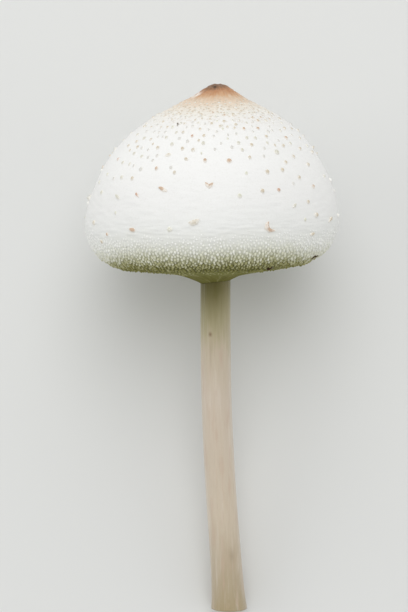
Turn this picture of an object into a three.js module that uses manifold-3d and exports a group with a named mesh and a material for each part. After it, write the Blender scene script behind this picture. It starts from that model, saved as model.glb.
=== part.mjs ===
// A young parasol mushroom, picked and lying on its side. Millimetres, +Z up.
// Every piece is drawn on the mushroom's own upright frame, in which z runs up the stem from its cut foot,
// +x is the right-hand side and -y is the side that is seen. The pieces are then laid down together, so
// that the cap's back rests on a small pressed spot and the foot's rim on another.
import * as THREE from "three";
import { mergeVertices } from "three/addons/utils/BufferGeometryUtils.js";
import Module from "manifold-3d";

const wasm = await Module();
wasm.setup();

// Driving dimensions
const STEM_LENGTH = 93.5; // cut foot to where the veil clasps the stem
const STEM_TOP_RADIUS = 4.2;
const STEM_FOOT_RADIUS = 4.4;
const FOOT_FLARE = 0.7; // how much the foot widens over the stem
const FLARE_LENGTH = 5;
const CAP_RADIUS = 35.4;
const CAP_HEIGHT = 55; // the veil's clasp to the tip of the umbo
const MARGIN_RADIUS = 26.1; // the cap's inrolled edge
const SOCKET_DEPTH = 12; // how far the stem's top stands up in the cap
const VEIL_THICKNESS = 1.4;
const SEAM = 0.33; // gap between two pieces that touch
const LIP = 0.3; // thickness of the cap's flesh at its very edge
const CAP_PRESSED = 0.45; // how far the soft flesh gives where it rests
const FOOT_PRESSED = 0.12;

// The cap's outline from the tip to the edge, as shares of its radius and height
const CAP_OUTLINE = [
  [0, 1],
  [0.048, 0.9965],
  [0.121, 0.971],
  [0.22, 0.929],
  [0.367, 0.88],
  [0.523, 0.824],
  [0.655, 0.756],
  [0.768, 0.675],
  [0.864, 0.584],
  [0.935, 0.487],
  [0.983, 0.389],
  [1, 0.295],
  [0.969, 0.22],
  [0.904, 0.155],
  [0.825, 0.115],
  [MARGIN_RADIUS / CAP_RADIUS, 0.088],
];

// The cap isn't quite true: its tip stands to the right of the stem, its body hangs to the left, its edge
// is lower on the left and its outline is a little lobed.
const TIP_SHIFT = 0.6;
const BODY_SHIFT = -1;
const LEAN_FROM = 32; // height over the clasp where the body starts to lean over to the tip
const LEAN_OVER = 20;
const RIM_SLOPE = 0.026;
const LOBE = 0.006;

// The veil's underside from the stem to the edge, as radius and height over the clasp
const VEIL_RADIUS = MARGIN_RADIUS - LIP - SEAM;
const CLASP_RADIUS = STEM_TOP_RADIUS + SEAM;
const VEIL_OUTLINE = [
  [CLASP_RADIUS, 0.1],
  [5.6, 0.75],
  [8, 1.5],
  [13, 2.5],
  [19.5, 3.6],
  [VEIL_RADIUS, 4.7],
];
const VEIL_SIDES = 40;
const VEIL_FOLDS = 10;
const FOLD_DEPTH = 0.12;

// The stem's sideways bend, as height over the foot and shift
const STEM_TOP = STEM_LENGTH + SOCKET_DEPTH;
const STEM_BEND = [
  [0, 3.9],
  [12, 3.1],
  [31, 1.75],
  [54, 0.5],
  [75, 0.1],
  [STEM_LENGTH, 0],
  [STEM_TOP, 0],
];
const STEM_SIDES = 27;
const STEM_STEPS = 16;
const STEM_RIBS = 9;
const RIB_DEPTH = 0.1;

// The cap's skin from the tip down: a bald knob, a collar of crowded small scales round it, an open dome
// where the scales are few, and a band of crowded warts above the edge. The collar and the band are nets
// of slanting furrows with something raised in each mesh; start and end are distances along the skin from
// the tip, or from the edge where they are below zero.
const KNOB_RINGS = [
  [1, 9],
  [2.2, 18],
];
const SCALE_COLLAR = {
  start: 3.4,
  end: 24,
  rows: 13,
  around: 36,
  heights: [0.4, 0.6],
  droop: 0.45,
  seed: 11,
};
const DOME_STEP = 2.8;
const DOME_SIDES = 54;
const WART_BAND = {
  start: -15,
  end: 0,
  rows: 14,
  around: 84,
  heights: [0.2, 0.9],
  droop: 0.35,
  seed: 3,
};
const FURROW_SCATTER = 0.22; // share of the spacing by which the furrows wander

// The tan scales left of the broken skin on the dome, each zone reaching up to a height over the clasp.
// They are fewer and larger lower down.
const SCALE_ZONES = [
  { top: 46, chance: 0.32, width: 1.3 },
  { top: 38, chance: 0.16, width: 1.5 },
  { top: 27, chance: 0.07, width: 1.9 },
];
// The largest scales on the side that is seen: place to the right of the stem, height over the clasp, width
const LARGE_SCALES = [
  [-15, 28.7, 2.6],
  [-1.8, 30.6, 2.4],
  [-6, 19.9, 2.8],
  [-23.6, 16.7, 2.2],
  [-13.3, 17.8, 2],
  [15, 18.3, 3],
  [27, 15.5, 1.9],
  [3.8, 36.5, 1.6],
  [-13.3, 38, 1.7],
  [-20.9, 33.6, 1.6],
  [-27.4, 25.5, 1.5],
  [13.1, 28.2, 1.6],
  [22.1, 23.6, 1.7],
  [28.2, 20.5, 1.7],
];
const SCALE_STEEPNESS = 0.42; // height over width
const CLEARANCE = 1; // nothing is raised from skin that is nearer than this to the surface below

const FULL_TURN = 2 * Math.PI;
const BACK = Math.PI / 2; // the angle of the side that is laid down
const { lerp, smoothstep } = THREE.MathUtils;

const profileCurve = (points) =>
  new THREE.SplineCurve(points.map(([a, b]) => new THREE.Vector2(a, b)));
const capCurve = profileCurve(CAP_OUTLINE.map(([r, h]) => [r * CAP_RADIUS, h * CAP_HEIGHT]));
const veilCurve = profileCurve(VEIL_OUTLINE);
const bendCurve = profileCurve(STEM_BEND);
const capSkinLength = capCurve.getLength();

// A repeatable random draw between 0 and 1
function seededDraw(seed) {
  let state = seed;
  return () => {
    state = (Math.imul(state, 1664525) + 1013904223) >>> 0;
    return state / 2 ** 32;
  };
}

// A point of the cap or veil, by its radius and its height over the clasp. Hold is 1 for the body of the
// cap, which is not quite true, and 0 for what clasps the stem.
function capPoint(radius, height, angle, hold = 1) {
  const lean = smoothstep(height, LEAN_FROM, LEAN_FROM + LEAN_OVER);
  const round = 1 - hold * LOBE * (Math.sin(2 * angle) + Math.sin(3 * angle));
  const x = hold * lerp(BODY_SHIFT, TIP_SHIFT, lean) + radius * round * Math.cos(angle);
  const slope = RIM_SLOPE * hold * (1 - lean);
  return new THREE.Vector3(x, radius * round * Math.sin(angle), STEM_LENGTH + height + slope * x);
}

// A point of the cap's skin, by its distance along the skin from the tip
function skinPoint(along, angle) {
  const { x, y } = capCurve.getPointAt(Math.min(along / capSkinLength, 1));
  return capPoint(x, y, angle);
}

// A point under the cap goes with the cap's edge far out and with the stem close in
function underPoint(radius, height, angle) {
  return capPoint(radius, height, angle, smoothstep(radius, CLASP_RADIUS, VEIL_RADIUS));
}

function stemRadius(height) {
  const plain = lerp(STEM_FOOT_RADIUS, STEM_TOP_RADIUS, smoothstep(height, 0, STEM_LENGTH));
  return plain + FOOT_FLARE * Math.exp(-height / FLARE_LENGTH);
}

// The turn and lift that lay the mushroom down. In it the cap's back would reach CAP_PRESSED below the
// surface, and the foot's rim FOOT_PRESSED.
function layingMatrix() {
  const back = [];
  for (let along = capSkinLength / 2; along < capSkinLength; along += 0.1) {
    for (let turn = -0.3; turn <= 0.3; turn += 0.02) back.push(skinPoint(along, BACK + turn));
  }
  const capReach = (tilt) =>
    Math.max(...back.map((p) => p.y * Math.cos(tilt) - p.z * Math.sin(tilt))) - CAP_PRESSED;
  const footReach = (tilt) => stemRadius(0) * Math.cos(tilt) - FOOT_PRESSED;
  let tilt = 0;
  for (let step = Math.PI / 8; step > 1e-7; step /= 2) {
    if (capReach(tilt + step) > footReach(tilt + step)) tilt += step;
  }
  const matrix = new THREE.Matrix4().makeRotationX(tilt - Math.PI / 2);
  return matrix.setPosition(0, 0, footReach(tilt));
}
const laying = layingMatrix();

function isClearOfSurface(point) {
  return point.clone().applyMatrix4(laying).z > CLEARANCE;
}

// A closed skin of triangles, gathered ring by ring
class Skin {
  constructor() {
    this.points = [];
    this.faces = [];
  }

  point(place) {
    this.points.push(place);
    return this.points.length - 1;
  }

  ring(sides, turn, placeAt) {
    return Array.from({ length: sides }, (_, i) => {
      const angle = (FULL_TURN * (i + turn)) / sides;
      return { angle, index: this.point(placeAt(angle)) };
    });
  }

  closeTop(tip, ring) {
    ring.forEach(({ index }, i) => this.faces.push([tip, index, ring[(i + 1) % ring.length].index]));
  }

  closeBottom(tip, ring) {
    ring.forEach(({ index }, i) => this.faces.push([index, tip, ring[(i + 1) % ring.length].index]));
  }

  // Joins two rings, whatever their numbers of sides, and gives the numbers of the new faces
  join(upper, lower) {
    const first = this.faces.length;
    const indexAt = (ring, i) => ring[i % ring.length].index;
    const angleAt = (ring, i) => ring[i % ring.length].angle + FULL_TURN * Math.floor(i / ring.length);
    const middleOf = (ring, i) => (i < ring.length ? angleAt(ring, i) + angleAt(ring, i + 1) : Infinity);
    let u = 0;
    let l = 0;
    while (u < upper.length || l < lower.length) {
      const corners = [indexAt(upper, u), indexAt(lower, l)];
      if (middleOf(lower, l) < middleOf(upper, u)) {
        l += 1;
        corners.push(indexAt(lower, l));
      } else {
        u += 1;
        corners.push(indexAt(upper, u));
      }
      this.faces.push(corners);
    }
    return Array.from({ length: this.faces.length - first }, (_, i) => first + i);
  }

  corners(face) {
    return this.faces[face].map((index) => this.points[index]);
  }

  middle(face) {
    const [a, b, c] = this.corners(face);
    return a.clone().add(b).add(c).divideScalar(3);
  }

  // Raises a face, or the middle of a larger one, into a pointed three-sided scale
  raiseScale(face, width) {
    const corners = this.corners(face);
    const middle = this.middle(face);
    const outward = new THREE.Triangle(...corners).getNormal(new THREE.Vector3());
    const room = Math.min(...corners.map((p) => p.distanceTo(middle)));
    const outer = this.faces[face];
    let base = outer;
    if (width / 2 < room * 0.85) {
      base = corners.map((p) => this.point(middle.clone().lerp(p, width / 2 / room)));
      for (const [i, j] of [[0, 1], [1, 2], [2, 0]]) {
        this.faces.push([outer[i], outer[j], base[j]], [outer[i], base[j], base[i]]);
      }
    }
    const tip = this.point(middle.addScaledVector(outward, width * SCALE_STEEPNESS));
    this.faces[face] = [base[0], base[1], tip];
    this.faces.push([base[1], base[2], tip], [base[2], base[0], tip]);
  }

  // Raises one mesh of a net, given by its top, left, bottom and right corners, into a drooping point
  raisePoint(corners, height, droop) {
    const [top, left, bottom, right] = corners.map((index) => this.points[index]);
    const middle = top.clone().add(left).add(bottom).add(right).divideScalar(4);
    const down = bottom.clone().sub(top);
    const outward = down.clone().cross(right.clone().sub(left)).normalize();
    const grown = isClearOfSurface(middle) ? 1 : 0;
    const tip = middle.addScaledVector(outward, height * grown);
    tip.addScaledVector(down.normalize(), droop * grown);
    const tipIndex = this.point(tip);
    corners.forEach((index, i) => this.faces.push([index, corners[(i + 1) % 4], tipIndex]));
  }

  geometry() {
    const skin = new THREE.BufferGeometry();
    const laid = this.points.flatMap((p) => p.clone().applyMatrix4(laying).toArray());
    skin.setAttribute("position", new THREE.Float32BufferAttribute(laid, 3));
    skin.setIndex(this.faces.flat());
    return skin;
  }
}

// A distance along the skin from the tip, where one below zero is measured from the edge
const fromTip = (along) => (along > 0 ? along : capSkinLength + along);

// A net of slanting furrows round the cap with a point raised in each mesh, its height going from the
// first of heights to the last. Gives the net's first and last ring.
function addNet(skin, { start, end, rows, around, heights, droop, seed }) {
  const draw = seededDraw(seed);
  const top = fromTip(start);
  const rowStep = (fromTip(end) - top) / rows;
  const turnStep = FULL_TURN / around;
  const wander = () => FURROW_SCATTER * (2 * draw() - 1);
  const rings = Array.from({ length: rows + 1 }, (_, row) => {
    const along = top + row * rowStep;
    const isInside = row > 0 && row < rows;
    return skin.ring(around, (row % 2) / 2, (angle) =>
      isInside
        ? skinPoint(along + wander() * rowStep, angle + wander() * turnStep)
        : skinPoint(along, angle),
    );
  });
  const indexAt = (row, i) => rings[row][i % around].index;
  const between = (row, i) => (row % 2 ? i + 1 : i);
  for (let i = 0; i < around; i += 1) {
    skin.faces.push([indexAt(0, i), indexAt(1, between(0, i)), indexAt(0, i + 1)]);
    for (let row = 1; row < rows; row += 1) {
      const middle = between(row, i);
      const height = lerp(heights[0], heights[1], smoothstep(row / rows, 0, 0.7));
      skin.raisePoint(
        [indexAt(row - 1, middle), indexAt(row, i), indexAt(row + 1, middle), indexAt(row, i + 1)],
        height * lerp(0.6, 1.2, draw()),
        droop,
      );
    }
    skin.faces.push([indexAt(rows - 1, between(rows, i)), indexAt(rows, i), indexAt(rows, i + 1)]);
  }
  return [rings[0], rings[rows]];
}

// The bald knob at the tip, down to the given ring
function addKnob(skin, below) {
  const rings = KNOB_RINGS.map(([along, sides]) => skin.ring(sides, 0, (angle) => skinPoint(along, angle)));
  skin.closeTop(skin.point(skinPoint(0, 0)), rings[0]);
  [...rings.slice(1), below].forEach((ring, i) => skin.join(rings[i], ring));
}

// The open dome between two rings. Gives the faces that may carry a scale.
function addDome(skin, above, below) {
  const start = SCALE_COLLAR.end;
  const length = fromTip(WART_BAND.start) - start;
  const steps = Math.round(length / DOME_STEP);
  const inner = Array.from({ length: steps - 1 }, (_, i) =>
    skin.ring(DOME_SIDES, (i % 2) / 2, (angle) => skinPoint(start + (length * (i + 1)) / steps, angle)),
  );
  const rings = [above, ...inner, below];
  return rings.slice(1).flatMap((ring, i) => skin.join(rings[i], ring));
}

function addScales(skin, hosts) {
  const draw = seededDraw(7);
  const free = new Set(hosts);
  for (const [across, height, width] of LARGE_SCALES) {
    const distance = (face) => {
      const p = skin.middle(face);
      return Math.hypot(p.x - across, p.z - STEM_LENGTH - height) + (p.y > 0 ? CAP_RADIUS : 0);
    };
    const nearest = [...free].reduce((best, face) => (distance(face) < distance(best) ? face : best));
    free.delete(nearest);
    skin.raiseScale(nearest, width);
  }
  for (const face of free) {
    const middle = skin.middle(face);
    const zone = SCALE_ZONES.findLast(({ top }) => middle.z - STEM_LENGTH < top);
    const luck = draw();
    const size = lerp(0.75, 1.25, draw());
    if (zone && luck < zone.chance && isClearOfSurface(middle)) skin.raiseScale(face, zone.width * size);
  }
}

// The cap's underside: the recess that holds the veil, and the socket that holds the stem
function addUnderside(skin, edge) {
  const wall = VEIL_RADIUS + SEAM;
  const flesh = [1, 0.8, 0.6, 0.4, 0.2, 0].map((share) => {
    const { x, y } = veilCurve.getPoint(share);
    return [x, y + VEIL_THICKNESS + SEAM];
  });
  const outline = [
    [wall, CAP_OUTLINE.at(-1)[1] * CAP_HEIGHT],
    [wall, flesh[0][1]],
    ...flesh.slice(1),
    [CLASP_RADIUS, SOCKET_DEPTH + SEAM],
  ];
  let above = edge;
  for (const [radius, height] of outline) {
    const ring = skin.ring(VEIL_SIDES, 0, (angle) => underPoint(radius, height, angle));
    skin.join(above, ring);
    above = ring;
  }
  skin.closeBottom(skin.point(underPoint(0, SOCKET_DEPTH + SEAM, 0)), above);
}

function capGeometry() {
  const skin = new Skin();
  const [collarTop, collarFoot] = addNet(skin, SCALE_COLLAR);
  const [bandTop, edge] = addNet(skin, WART_BAND);
  addKnob(skin, collarTop);
  addScales(skin, addDome(skin, collarFoot, bandTop));
  addUnderside(skin, edge);
  return skin.geometry();
}

// The closed veil, a shallow cone of membrane with faint radial folds, from the stem out to the cap's edge
function veilGeometry() {
  const skin = new Skin();
  const shares = [0, 0.2, 0.4, 0.6, 0.8, 1];
  const ringAt = (share, rise, foldDepth) => {
    const { x, y } = veilCurve.getPoint(share);
    const fold = (angle) => foldDepth * Math.sin(Math.PI * share) * Math.sin(VEIL_FOLDS * angle);
    return skin.ring(VEIL_SIDES, 0, (angle) => underPoint(x, y + rise + fold(angle), angle));
  };
  const rings = [
    ...shares.map((share) => ringAt(1 - share, VEIL_THICKNESS, 0)),
    ...shares.map((share) => ringAt(share, 0, FOLD_DEPTH)),
  ];
  rings.forEach((ring, i) => skin.join(rings[(i + 1) % rings.length], ring));
  return skin.geometry();
}

// The stem: a slightly bent tube of flesh with fine ribs along it, cut flat at the foot
function stemGeometry() {
  const skin = new Skin();
  const rings = Array.from({ length: STEM_STEPS + 1 }, (_, i) => {
    const { x: height, y: shift } = bendCurve.getPointAt(1 - i / STEM_STEPS);
    return skin.ring(STEM_SIDES, 0, (angle) => {
      const radius = stemRadius(height) - RIB_DEPTH * (0.5 + 0.5 * Math.cos(STEM_RIBS * angle));
      return new THREE.Vector3(shift + radius * Math.cos(angle), radius * Math.sin(angle), height);
    });
  });
  const [[, footShift]] = STEM_BEND;
  skin.closeTop(skin.point(new THREE.Vector3(0, 0, STEM_TOP)), rings[0]);
  rings.slice(1).forEach((ring, i) => skin.join(rings[i], ring));
  skin.closeBottom(skin.point(new THREE.Vector3(footShift, 0, 0)), rings.at(-1));
  return skin.geometry();
}

function solidOf(geometry) {
  geometry.deleteAttribute("normal");
  geometry.deleteAttribute("uv");
  const merged = mergeVertices(geometry);
  return new wasm.Manifold(
    new wasm.Mesh({
      numProp: 3,
      vertProperties: merged.attributes.position.array,
      triVerts: Uint32Array.from(merged.index.array),
    }),
  );
}

// Presses a laid piece flat where it would reach below the surface it lies on
function pressed(geometry) {
  const side = 4 * CAP_RADIUS + 2 * STEM_LENGTH;
  const below = new THREE.BoxGeometry(side, side, side).translate(0, 0, -side / 2);
  const { vertProperties, triVerts } = solidOf(geometry).subtract(solidOf(below)).getMesh();
  const flat = new THREE.BufferGeometry();
  flat.setAttribute("position", new THREE.BufferAttribute(vertProperties, 3));
  flat.setIndex(new THREE.BufferAttribute(triVerts, 1));
  return flat;
}

function piece(name, geometry, color, roughness) {
  geometry.computeVertexNormals();
  const mesh = new THREE.Mesh(
    geometry,
    new THREE.MeshStandardMaterial({ color, roughness, metalness: 0, flatShading: true }),
  );
  mesh.name = name;
  return mesh;
}

const mushroom = new THREE.Group();
mushroom.add(
  piece("cap", pressed(capGeometry()), 0xeeeeea, 0.85),
  piece("veil", veilGeometry(), 0x8a8c58, 0.9),
  piece("stem", pressed(stemGeometry()), 0xc3b5a1, 0.7),
);

// The origin is under the middle of the whole, on the surface
const centre = new THREE.Box3().setFromObject(mushroom).getCenter(new THREE.Vector3());
mushroom.position.set(-centre.x, -centre.y, 0);

export default mushroom;
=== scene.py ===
"""A young parasol mushroom, lying on its side on a pale studio floor.

Every piece is drawn in millimetres on the mushroom's own upright frame, in which z runs up the stem
from the cut foot, +x is the right-hand side and -y is the side that is seen. One matrix then lays
the piece down and brings it to metres, in the frame that the solids are in.
"""

import logging
import math
from collections.abc import Sequence
from dataclasses import dataclass
from enum import Enum
from typing import Any

import bpy
import numpy as np
from mathutils import Matrix, Vector, noise


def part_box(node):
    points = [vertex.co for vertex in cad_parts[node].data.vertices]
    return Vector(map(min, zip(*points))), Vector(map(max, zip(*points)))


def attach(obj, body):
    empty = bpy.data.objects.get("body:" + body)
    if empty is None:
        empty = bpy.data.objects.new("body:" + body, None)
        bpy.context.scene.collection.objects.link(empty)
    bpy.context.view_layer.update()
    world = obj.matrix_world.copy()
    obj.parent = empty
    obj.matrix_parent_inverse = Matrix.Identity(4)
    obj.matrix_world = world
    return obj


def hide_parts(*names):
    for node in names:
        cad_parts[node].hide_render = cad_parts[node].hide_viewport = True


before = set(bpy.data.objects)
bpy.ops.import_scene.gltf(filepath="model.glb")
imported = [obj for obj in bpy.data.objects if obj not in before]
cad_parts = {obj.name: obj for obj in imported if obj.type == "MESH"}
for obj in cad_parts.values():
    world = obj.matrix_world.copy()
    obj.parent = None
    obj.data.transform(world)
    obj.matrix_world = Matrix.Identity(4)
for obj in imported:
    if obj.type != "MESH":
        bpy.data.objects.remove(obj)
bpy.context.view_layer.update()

log = logging.getLogger("parasol_mushroom")

MM = 0.001
CLEAR_OF_FLOOR = 1.0
TINY = 1e-12
BODY = "root"
Colour = tuple[float, float, float, float]
Stops = tuple[tuple[float, Colour], ...]
Points = np.ndarray
Faces = list[tuple[int, ...]]


def colour(red: float, green: float, blue: float) -> Colour:
    """Turns a screen colour into the linear light that shaders take.

    Args:
        red: Screen value from 0 to 255.
        green: Screen value from 0 to 255.
        blue: Screen value from 0 to 255.

    Returns:
        The linear colour, with full alpha.
    """
    linear = [
        (value / 255 / 12.92) if value <= 10 else ((value / 255 + 0.055) / 1.055) ** 2.4
        for value in (red, green, blue)
    ]
    return (*linear, 1.0)


def tint_stops(*rows: tuple[float, int, int, int]) -> Stops:
    """Gives the stops of a ramp, from rows of a value and a screen colour."""
    return tuple((value, colour(*tint)) for value, *tint in rows)


def smoothstep(value: Any, low: float, high: float) -> Any:
    """Rises smoothly from 0 at low to 1 at high."""
    share = np.clip((np.asarray(value, float) - low) / (high - low), 0, 1)
    return share * share * (3 - 2 * share)


def coarse_noise(points: Points, wavelength: Sequence[float], seed: float) -> Points:
    """Gives smooth noise, between about -1 and 1, at each point.

    Args:
        points: Points in millimetres, along the last axis.
        wavelength: Size of the noise's lumps along x, y and z, in millimetres.
        seed: Moves the noise, so that two uses differ.

    Returns:
        One number for each point.
    """
    scaled = points.reshape(-1, 3) / np.asarray(wavelength, float) + seed
    values = [noise.noise(Vector(place)) for place in scaled.tolist()]
    return np.array(values).reshape(points.shape[:-1]) * 1.6


class Outline:
    """A smooth curve through a few points, measured along its own length."""

    def __init__(self, points: Sequence[tuple[float, float]], fineness: int = 60) -> None:
        """Samples the curve.

        Args:
            points: The points that the curve passes through.
            fineness: Number of samples between two points.
        """
        knots = np.array(points, float)
        padded = np.vstack([knots[:1], knots, knots[-1:]])
        t = np.linspace(0, 1, fineness, endpoint=False)[:, None]
        spans = []
        for before, start, end, after in zip(padded, padded[1:], padded[2:], padded[3:]):
            leave, arrive = (end - before) / 2, (after - start) / 2
            cubic = 2 * start - 2 * end + leave + arrive
            square = 3 * end - 3 * start - 2 * leave - arrive
            spans.append(cubic * t**3 + square * t**2 + leave * t + start)
        self.samples = np.vstack([*spans, knots[-1:]])
        steps = np.linalg.norm(np.diff(self.samples, axis=0), axis=1)
        self.distances = np.concatenate([[0], np.cumsum(steps)])
        self.length = float(self.distances[-1])

    def at(self, distance: Any) -> tuple[Any, Any]:
        """Gives both coordinates of the curve at a distance along it."""
        first = np.interp(distance, self.distances, self.samples[:, 0])
        return first, np.interp(distance, self.distances, self.samples[:, 1])


@dataclass(frozen=True)
class MushroomForm:
    """The mushroom's shape in millimetres, on its own upright frame."""

    stem_length: float = 93.5
    stem_top_radius: float = 4.2
    stem_foot_radius: float = 4.4
    foot_flare: float = 0.7
    flare_length: float = 5.0
    cap_radius: float = 35.4
    cap_height: float = 55.0
    margin_radius: float = 26.1
    socket_depth: float = 12.0
    veil_thickness: float = 1.4
    seam: float = 0.33
    lip: float = 0.3
    cap_pressed: float = 0.45
    foot_pressed: float = 0.12
    tip_shift: float = 0.6
    body_shift: float = -1.0
    lean_from: float = 32.0
    lean_over: float = 20.0
    rim_slope: float = 0.026
    clasp_sag: float = 0.95
    shoulder_lift: float = 0.35
    lobe: float = 0.006
    sag_to: float = 12.0
    shoulder_from: float = 7.5
    shoulder_fades: tuple[float, float] = (10, 22)
    clasp_height: float = 0.1
    veil_rise: tuple[tuple[float, float], ...] = ((5.6, 0.75), (8, 1.5), (13, 2.5), (19.5, 3.6))
    veil_rim: float = 4.7
    cap_shares: tuple[tuple[float, float], ...] = (
        (0, 1), (0.048, 0.9965), (0.121, 0.971), (0.22, 0.929), (0.367, 0.88), (0.523, 0.824),
        (0.655, 0.756), (0.768, 0.675), (0.864, 0.584), (0.935, 0.487), (0.983, 0.389), (1, 0.295),
        (0.969, 0.22), (0.904, 0.155), (0.825, 0.115), (0.7373, 0.088),
    )
    bend: tuple[tuple[float, float], ...] = (
        (0, 3.9), (12, 3.1), (31, 1.75), (54, 0.5), (75, 0.1), (93.5, 0), (105.5, 0),
    )

    @property
    def veil_radius(self) -> float:
        """The veil's outer radius."""
        return self.margin_radius - self.lip - self.seam

    @property
    def clasp_radius(self) -> float:
        """The radius of the hole that the stem passes through."""
        return self.stem_top_radius + self.seam

    @property
    def cap_outline(self) -> Outline:
        """Radius and height over the clasp, from the tip to the edge."""
        return Outline([(r * self.cap_radius, h * self.cap_height) for r, h in self.cap_shares])

    @property
    def veil_outline(self) -> Outline:
        """Radius and height over the clasp of the veil's underside, from the stem to the edge."""
        inner, outer = (self.clasp_radius, self.clasp_height), (self.veil_radius, self.veil_rim)
        return Outline([inner, *self.veil_rise, outer])

    def cap_point(self, radius: Any, height: Any, angle: Any, hold: Any = 1.0) -> Points:
        """Gives points of the cap or veil.

        Args:
            radius: Distance from the middle.
            height: Height over the veil's clasp.
            angle: Angle round the middle, from +x towards +y.
            hold: 1 for the body of the cap, which isn't quite true, and 0 for what clasps the stem.

        Returns:
            The points, along a new last axis.
        """
        lean = smoothstep(height, self.lean_from, self.lean_from + self.lean_over)
        out_of_round = 1 - hold * self.lobe * (np.sin(2 * angle) + np.sin(3 * angle))
        shift = self.body_shift + (self.tip_shift - self.body_shift) * lean
        x = hold * shift + radius * out_of_round * np.cos(angle)
        y = radius * out_of_round * np.sin(angle)
        z = self.stem_length + height + self.rim_slope * hold * (1 - lean) * x
        return np.stack(np.broadcast_arrays(x, y, z), axis=-1)

    def skin_point(self, along: Any, angle: Any) -> Points:
        """Gives points of the cap's smooth skin, by their distance along it from the tip."""
        radius, height = self.cap_outline.at(along)
        return self.cap_point(radius, height, angle)

    def under_point(self, radius: Any, height: Any, angle: Any) -> Points:
        """Gives points under the cap, which go with its edge far out and with the stem close in."""
        hold = smoothstep(radius, self.clasp_radius, self.veil_radius)
        leftward = ((1 - np.cos(angle)) / 2) ** 2
        rightward = ((1 + np.cos(angle)) / 2) ** 2
        sag = self.clasp_sag * leftward * (1 - smoothstep(radius, self.clasp_radius, self.sag_to))
        shoulder = smoothstep(radius, self.clasp_radius, self.shoulder_from)
        shoulder = shoulder * (1 - smoothstep(radius, *self.shoulder_fades))
        lift = self.shoulder_lift * rightward * shoulder
        return self.cap_point(radius, height - sag + lift, angle, hold)

    def stem_radius(self, height: Any) -> Any:
        """The stem's radius at a height over the foot."""
        narrowing = smoothstep(height, 0, self.stem_length)
        plain = self.stem_foot_radius + (self.stem_top_radius - self.stem_foot_radius) * narrowing
        return plain + self.foot_flare * np.exp(-np.asarray(height, float) / self.flare_length)


class Laying:
    """Lays upright points in millimetres down on the floor, in metres, where the solids lie."""

    finest_step: float = 1e-7

    def __init__(self, form: MushroomForm) -> None:
        """Finds the turn and the lift, and then the place that the solids say.

        Args:
            form: The mushroom's shape.
        """
        self.tilt = self._find_tilt(form)
        lift = self._foot_reach(form, self.tilt)
        turn = Matrix.Rotation(self.tilt - math.pi / 2, 4, "X")
        self.matrix = Matrix.Translation((0, 0, lift * MM)) @ turn @ Matrix.Scale(MM, 4)
        angle = np.linspace(0, math.tau, 361)
        heights = (form.veil_rim, form.veil_rim + form.veil_thickness)
        rim = [form.under_point(form.veil_radius, height, angle) for height in heights]
        laid = self.place(np.concatenate(rim))
        middle = (laid.min(axis=0) + laid.max(axis=0)) / 2
        low, high = (np.array(corner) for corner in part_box("veil"))
        shift = (low + high) / 2 - middle
        self.matrix = Matrix.Translation((shift[0], shift[1], 0)) @ self.matrix

    @staticmethod
    def _foot_reach(form: MushroomForm, tilt: float) -> float:
        """How far below the stem's axis the foot's rim reaches."""
        return float(form.stem_radius(0)) * math.cos(tilt) - form.foot_pressed

    def _find_tilt(self, form: MushroomForm) -> float:
        """Finds the tilt at which the cap's back and the foot's rim touch one plane.

        Args:
            form: The mushroom's shape.

        Returns:
            The angle between the stem and the floor, in radians.
        """
        length = form.cap_outline.length
        along, turn = np.meshgrid(np.arange(length / 2, length, 0.1), np.arange(-0.3, 0.31, 0.02))
        back = form.skin_point(along, math.pi / 2 + turn)
        tilt, step = 0.0, math.pi / 8
        while step > self.finest_step:
            trial = tilt + step
            reach = np.max(back[..., 1] * math.cos(trial) - back[..., 2] * math.sin(trial))
            if reach - form.cap_pressed > self._foot_reach(form, trial):
                tilt = trial
            step /= 2
        return tilt

    def place(self, points: Points) -> Points:
        """Gives the points' places in the frame, in metres."""
        turned = points @ np.array(self.matrix.to_3x3()).T
        return turned + np.array(self.matrix.translation)

    def turn(self, directions: Points) -> Points:
        """Turns directions as the points are turned, and leaves their lengths alone."""
        return directions @ np.array(self.matrix.to_3x3()).T / MM

    def press(self, points: Points) -> Points:
        """Flattens placed points against the floor."""
        pressed = points.copy()
        pressed[..., 2] = np.maximum(pressed[..., 2], 0)
        return pressed


@dataclass(frozen=True)
class PictureView:
    """The camera's place, given on the mushroom's upright frame in millimetres."""

    width_px: float = 408
    height_px: float = 612
    mm_per_px: float = 0.281
    distance: float = 755.0
    elevation: float = math.radians(5.9)
    clasp_px: tuple[float, float] = (215.5, 280.6)

    def aim(self, form: MushroomForm) -> Points:
        """The point of the stem's plane at the middle of the picture."""
        right = (self.width_px / 2 - self.clasp_px[0]) * self.mm_per_px
        up = (self.clasp_px[1] - self.height_px / 2) * self.mm_per_px
        return np.array([right, 0, form.stem_length + up / math.cos(self.elevation)])

    def backwards(self) -> Points:
        """The direction from the mushroom to the camera."""
        return np.array([0, -math.cos(self.elevation), math.sin(self.elevation)])

    def eye(self, form: MushroomForm) -> Points:
        """The camera's place."""
        return self.aim(form) + self.distance * self.backwards()

    def project(self, form: MushroomForm, points: Points) -> Points:
        """Gives the places in the picture, in pixels, of points on the upright frame."""
        back = self.backwards()
        up = np.array([0, back[2], -back[1]])
        sight = points - self.eye(form)
        depth = -(sight @ back)
        focal = self.distance / self.mm_per_px
        column = self.width_px / 2 + focal * sight[..., 0] / depth
        return np.stack([column, self.height_px / 2 - focal * (sight @ up) / depth], axis=-1)


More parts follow.
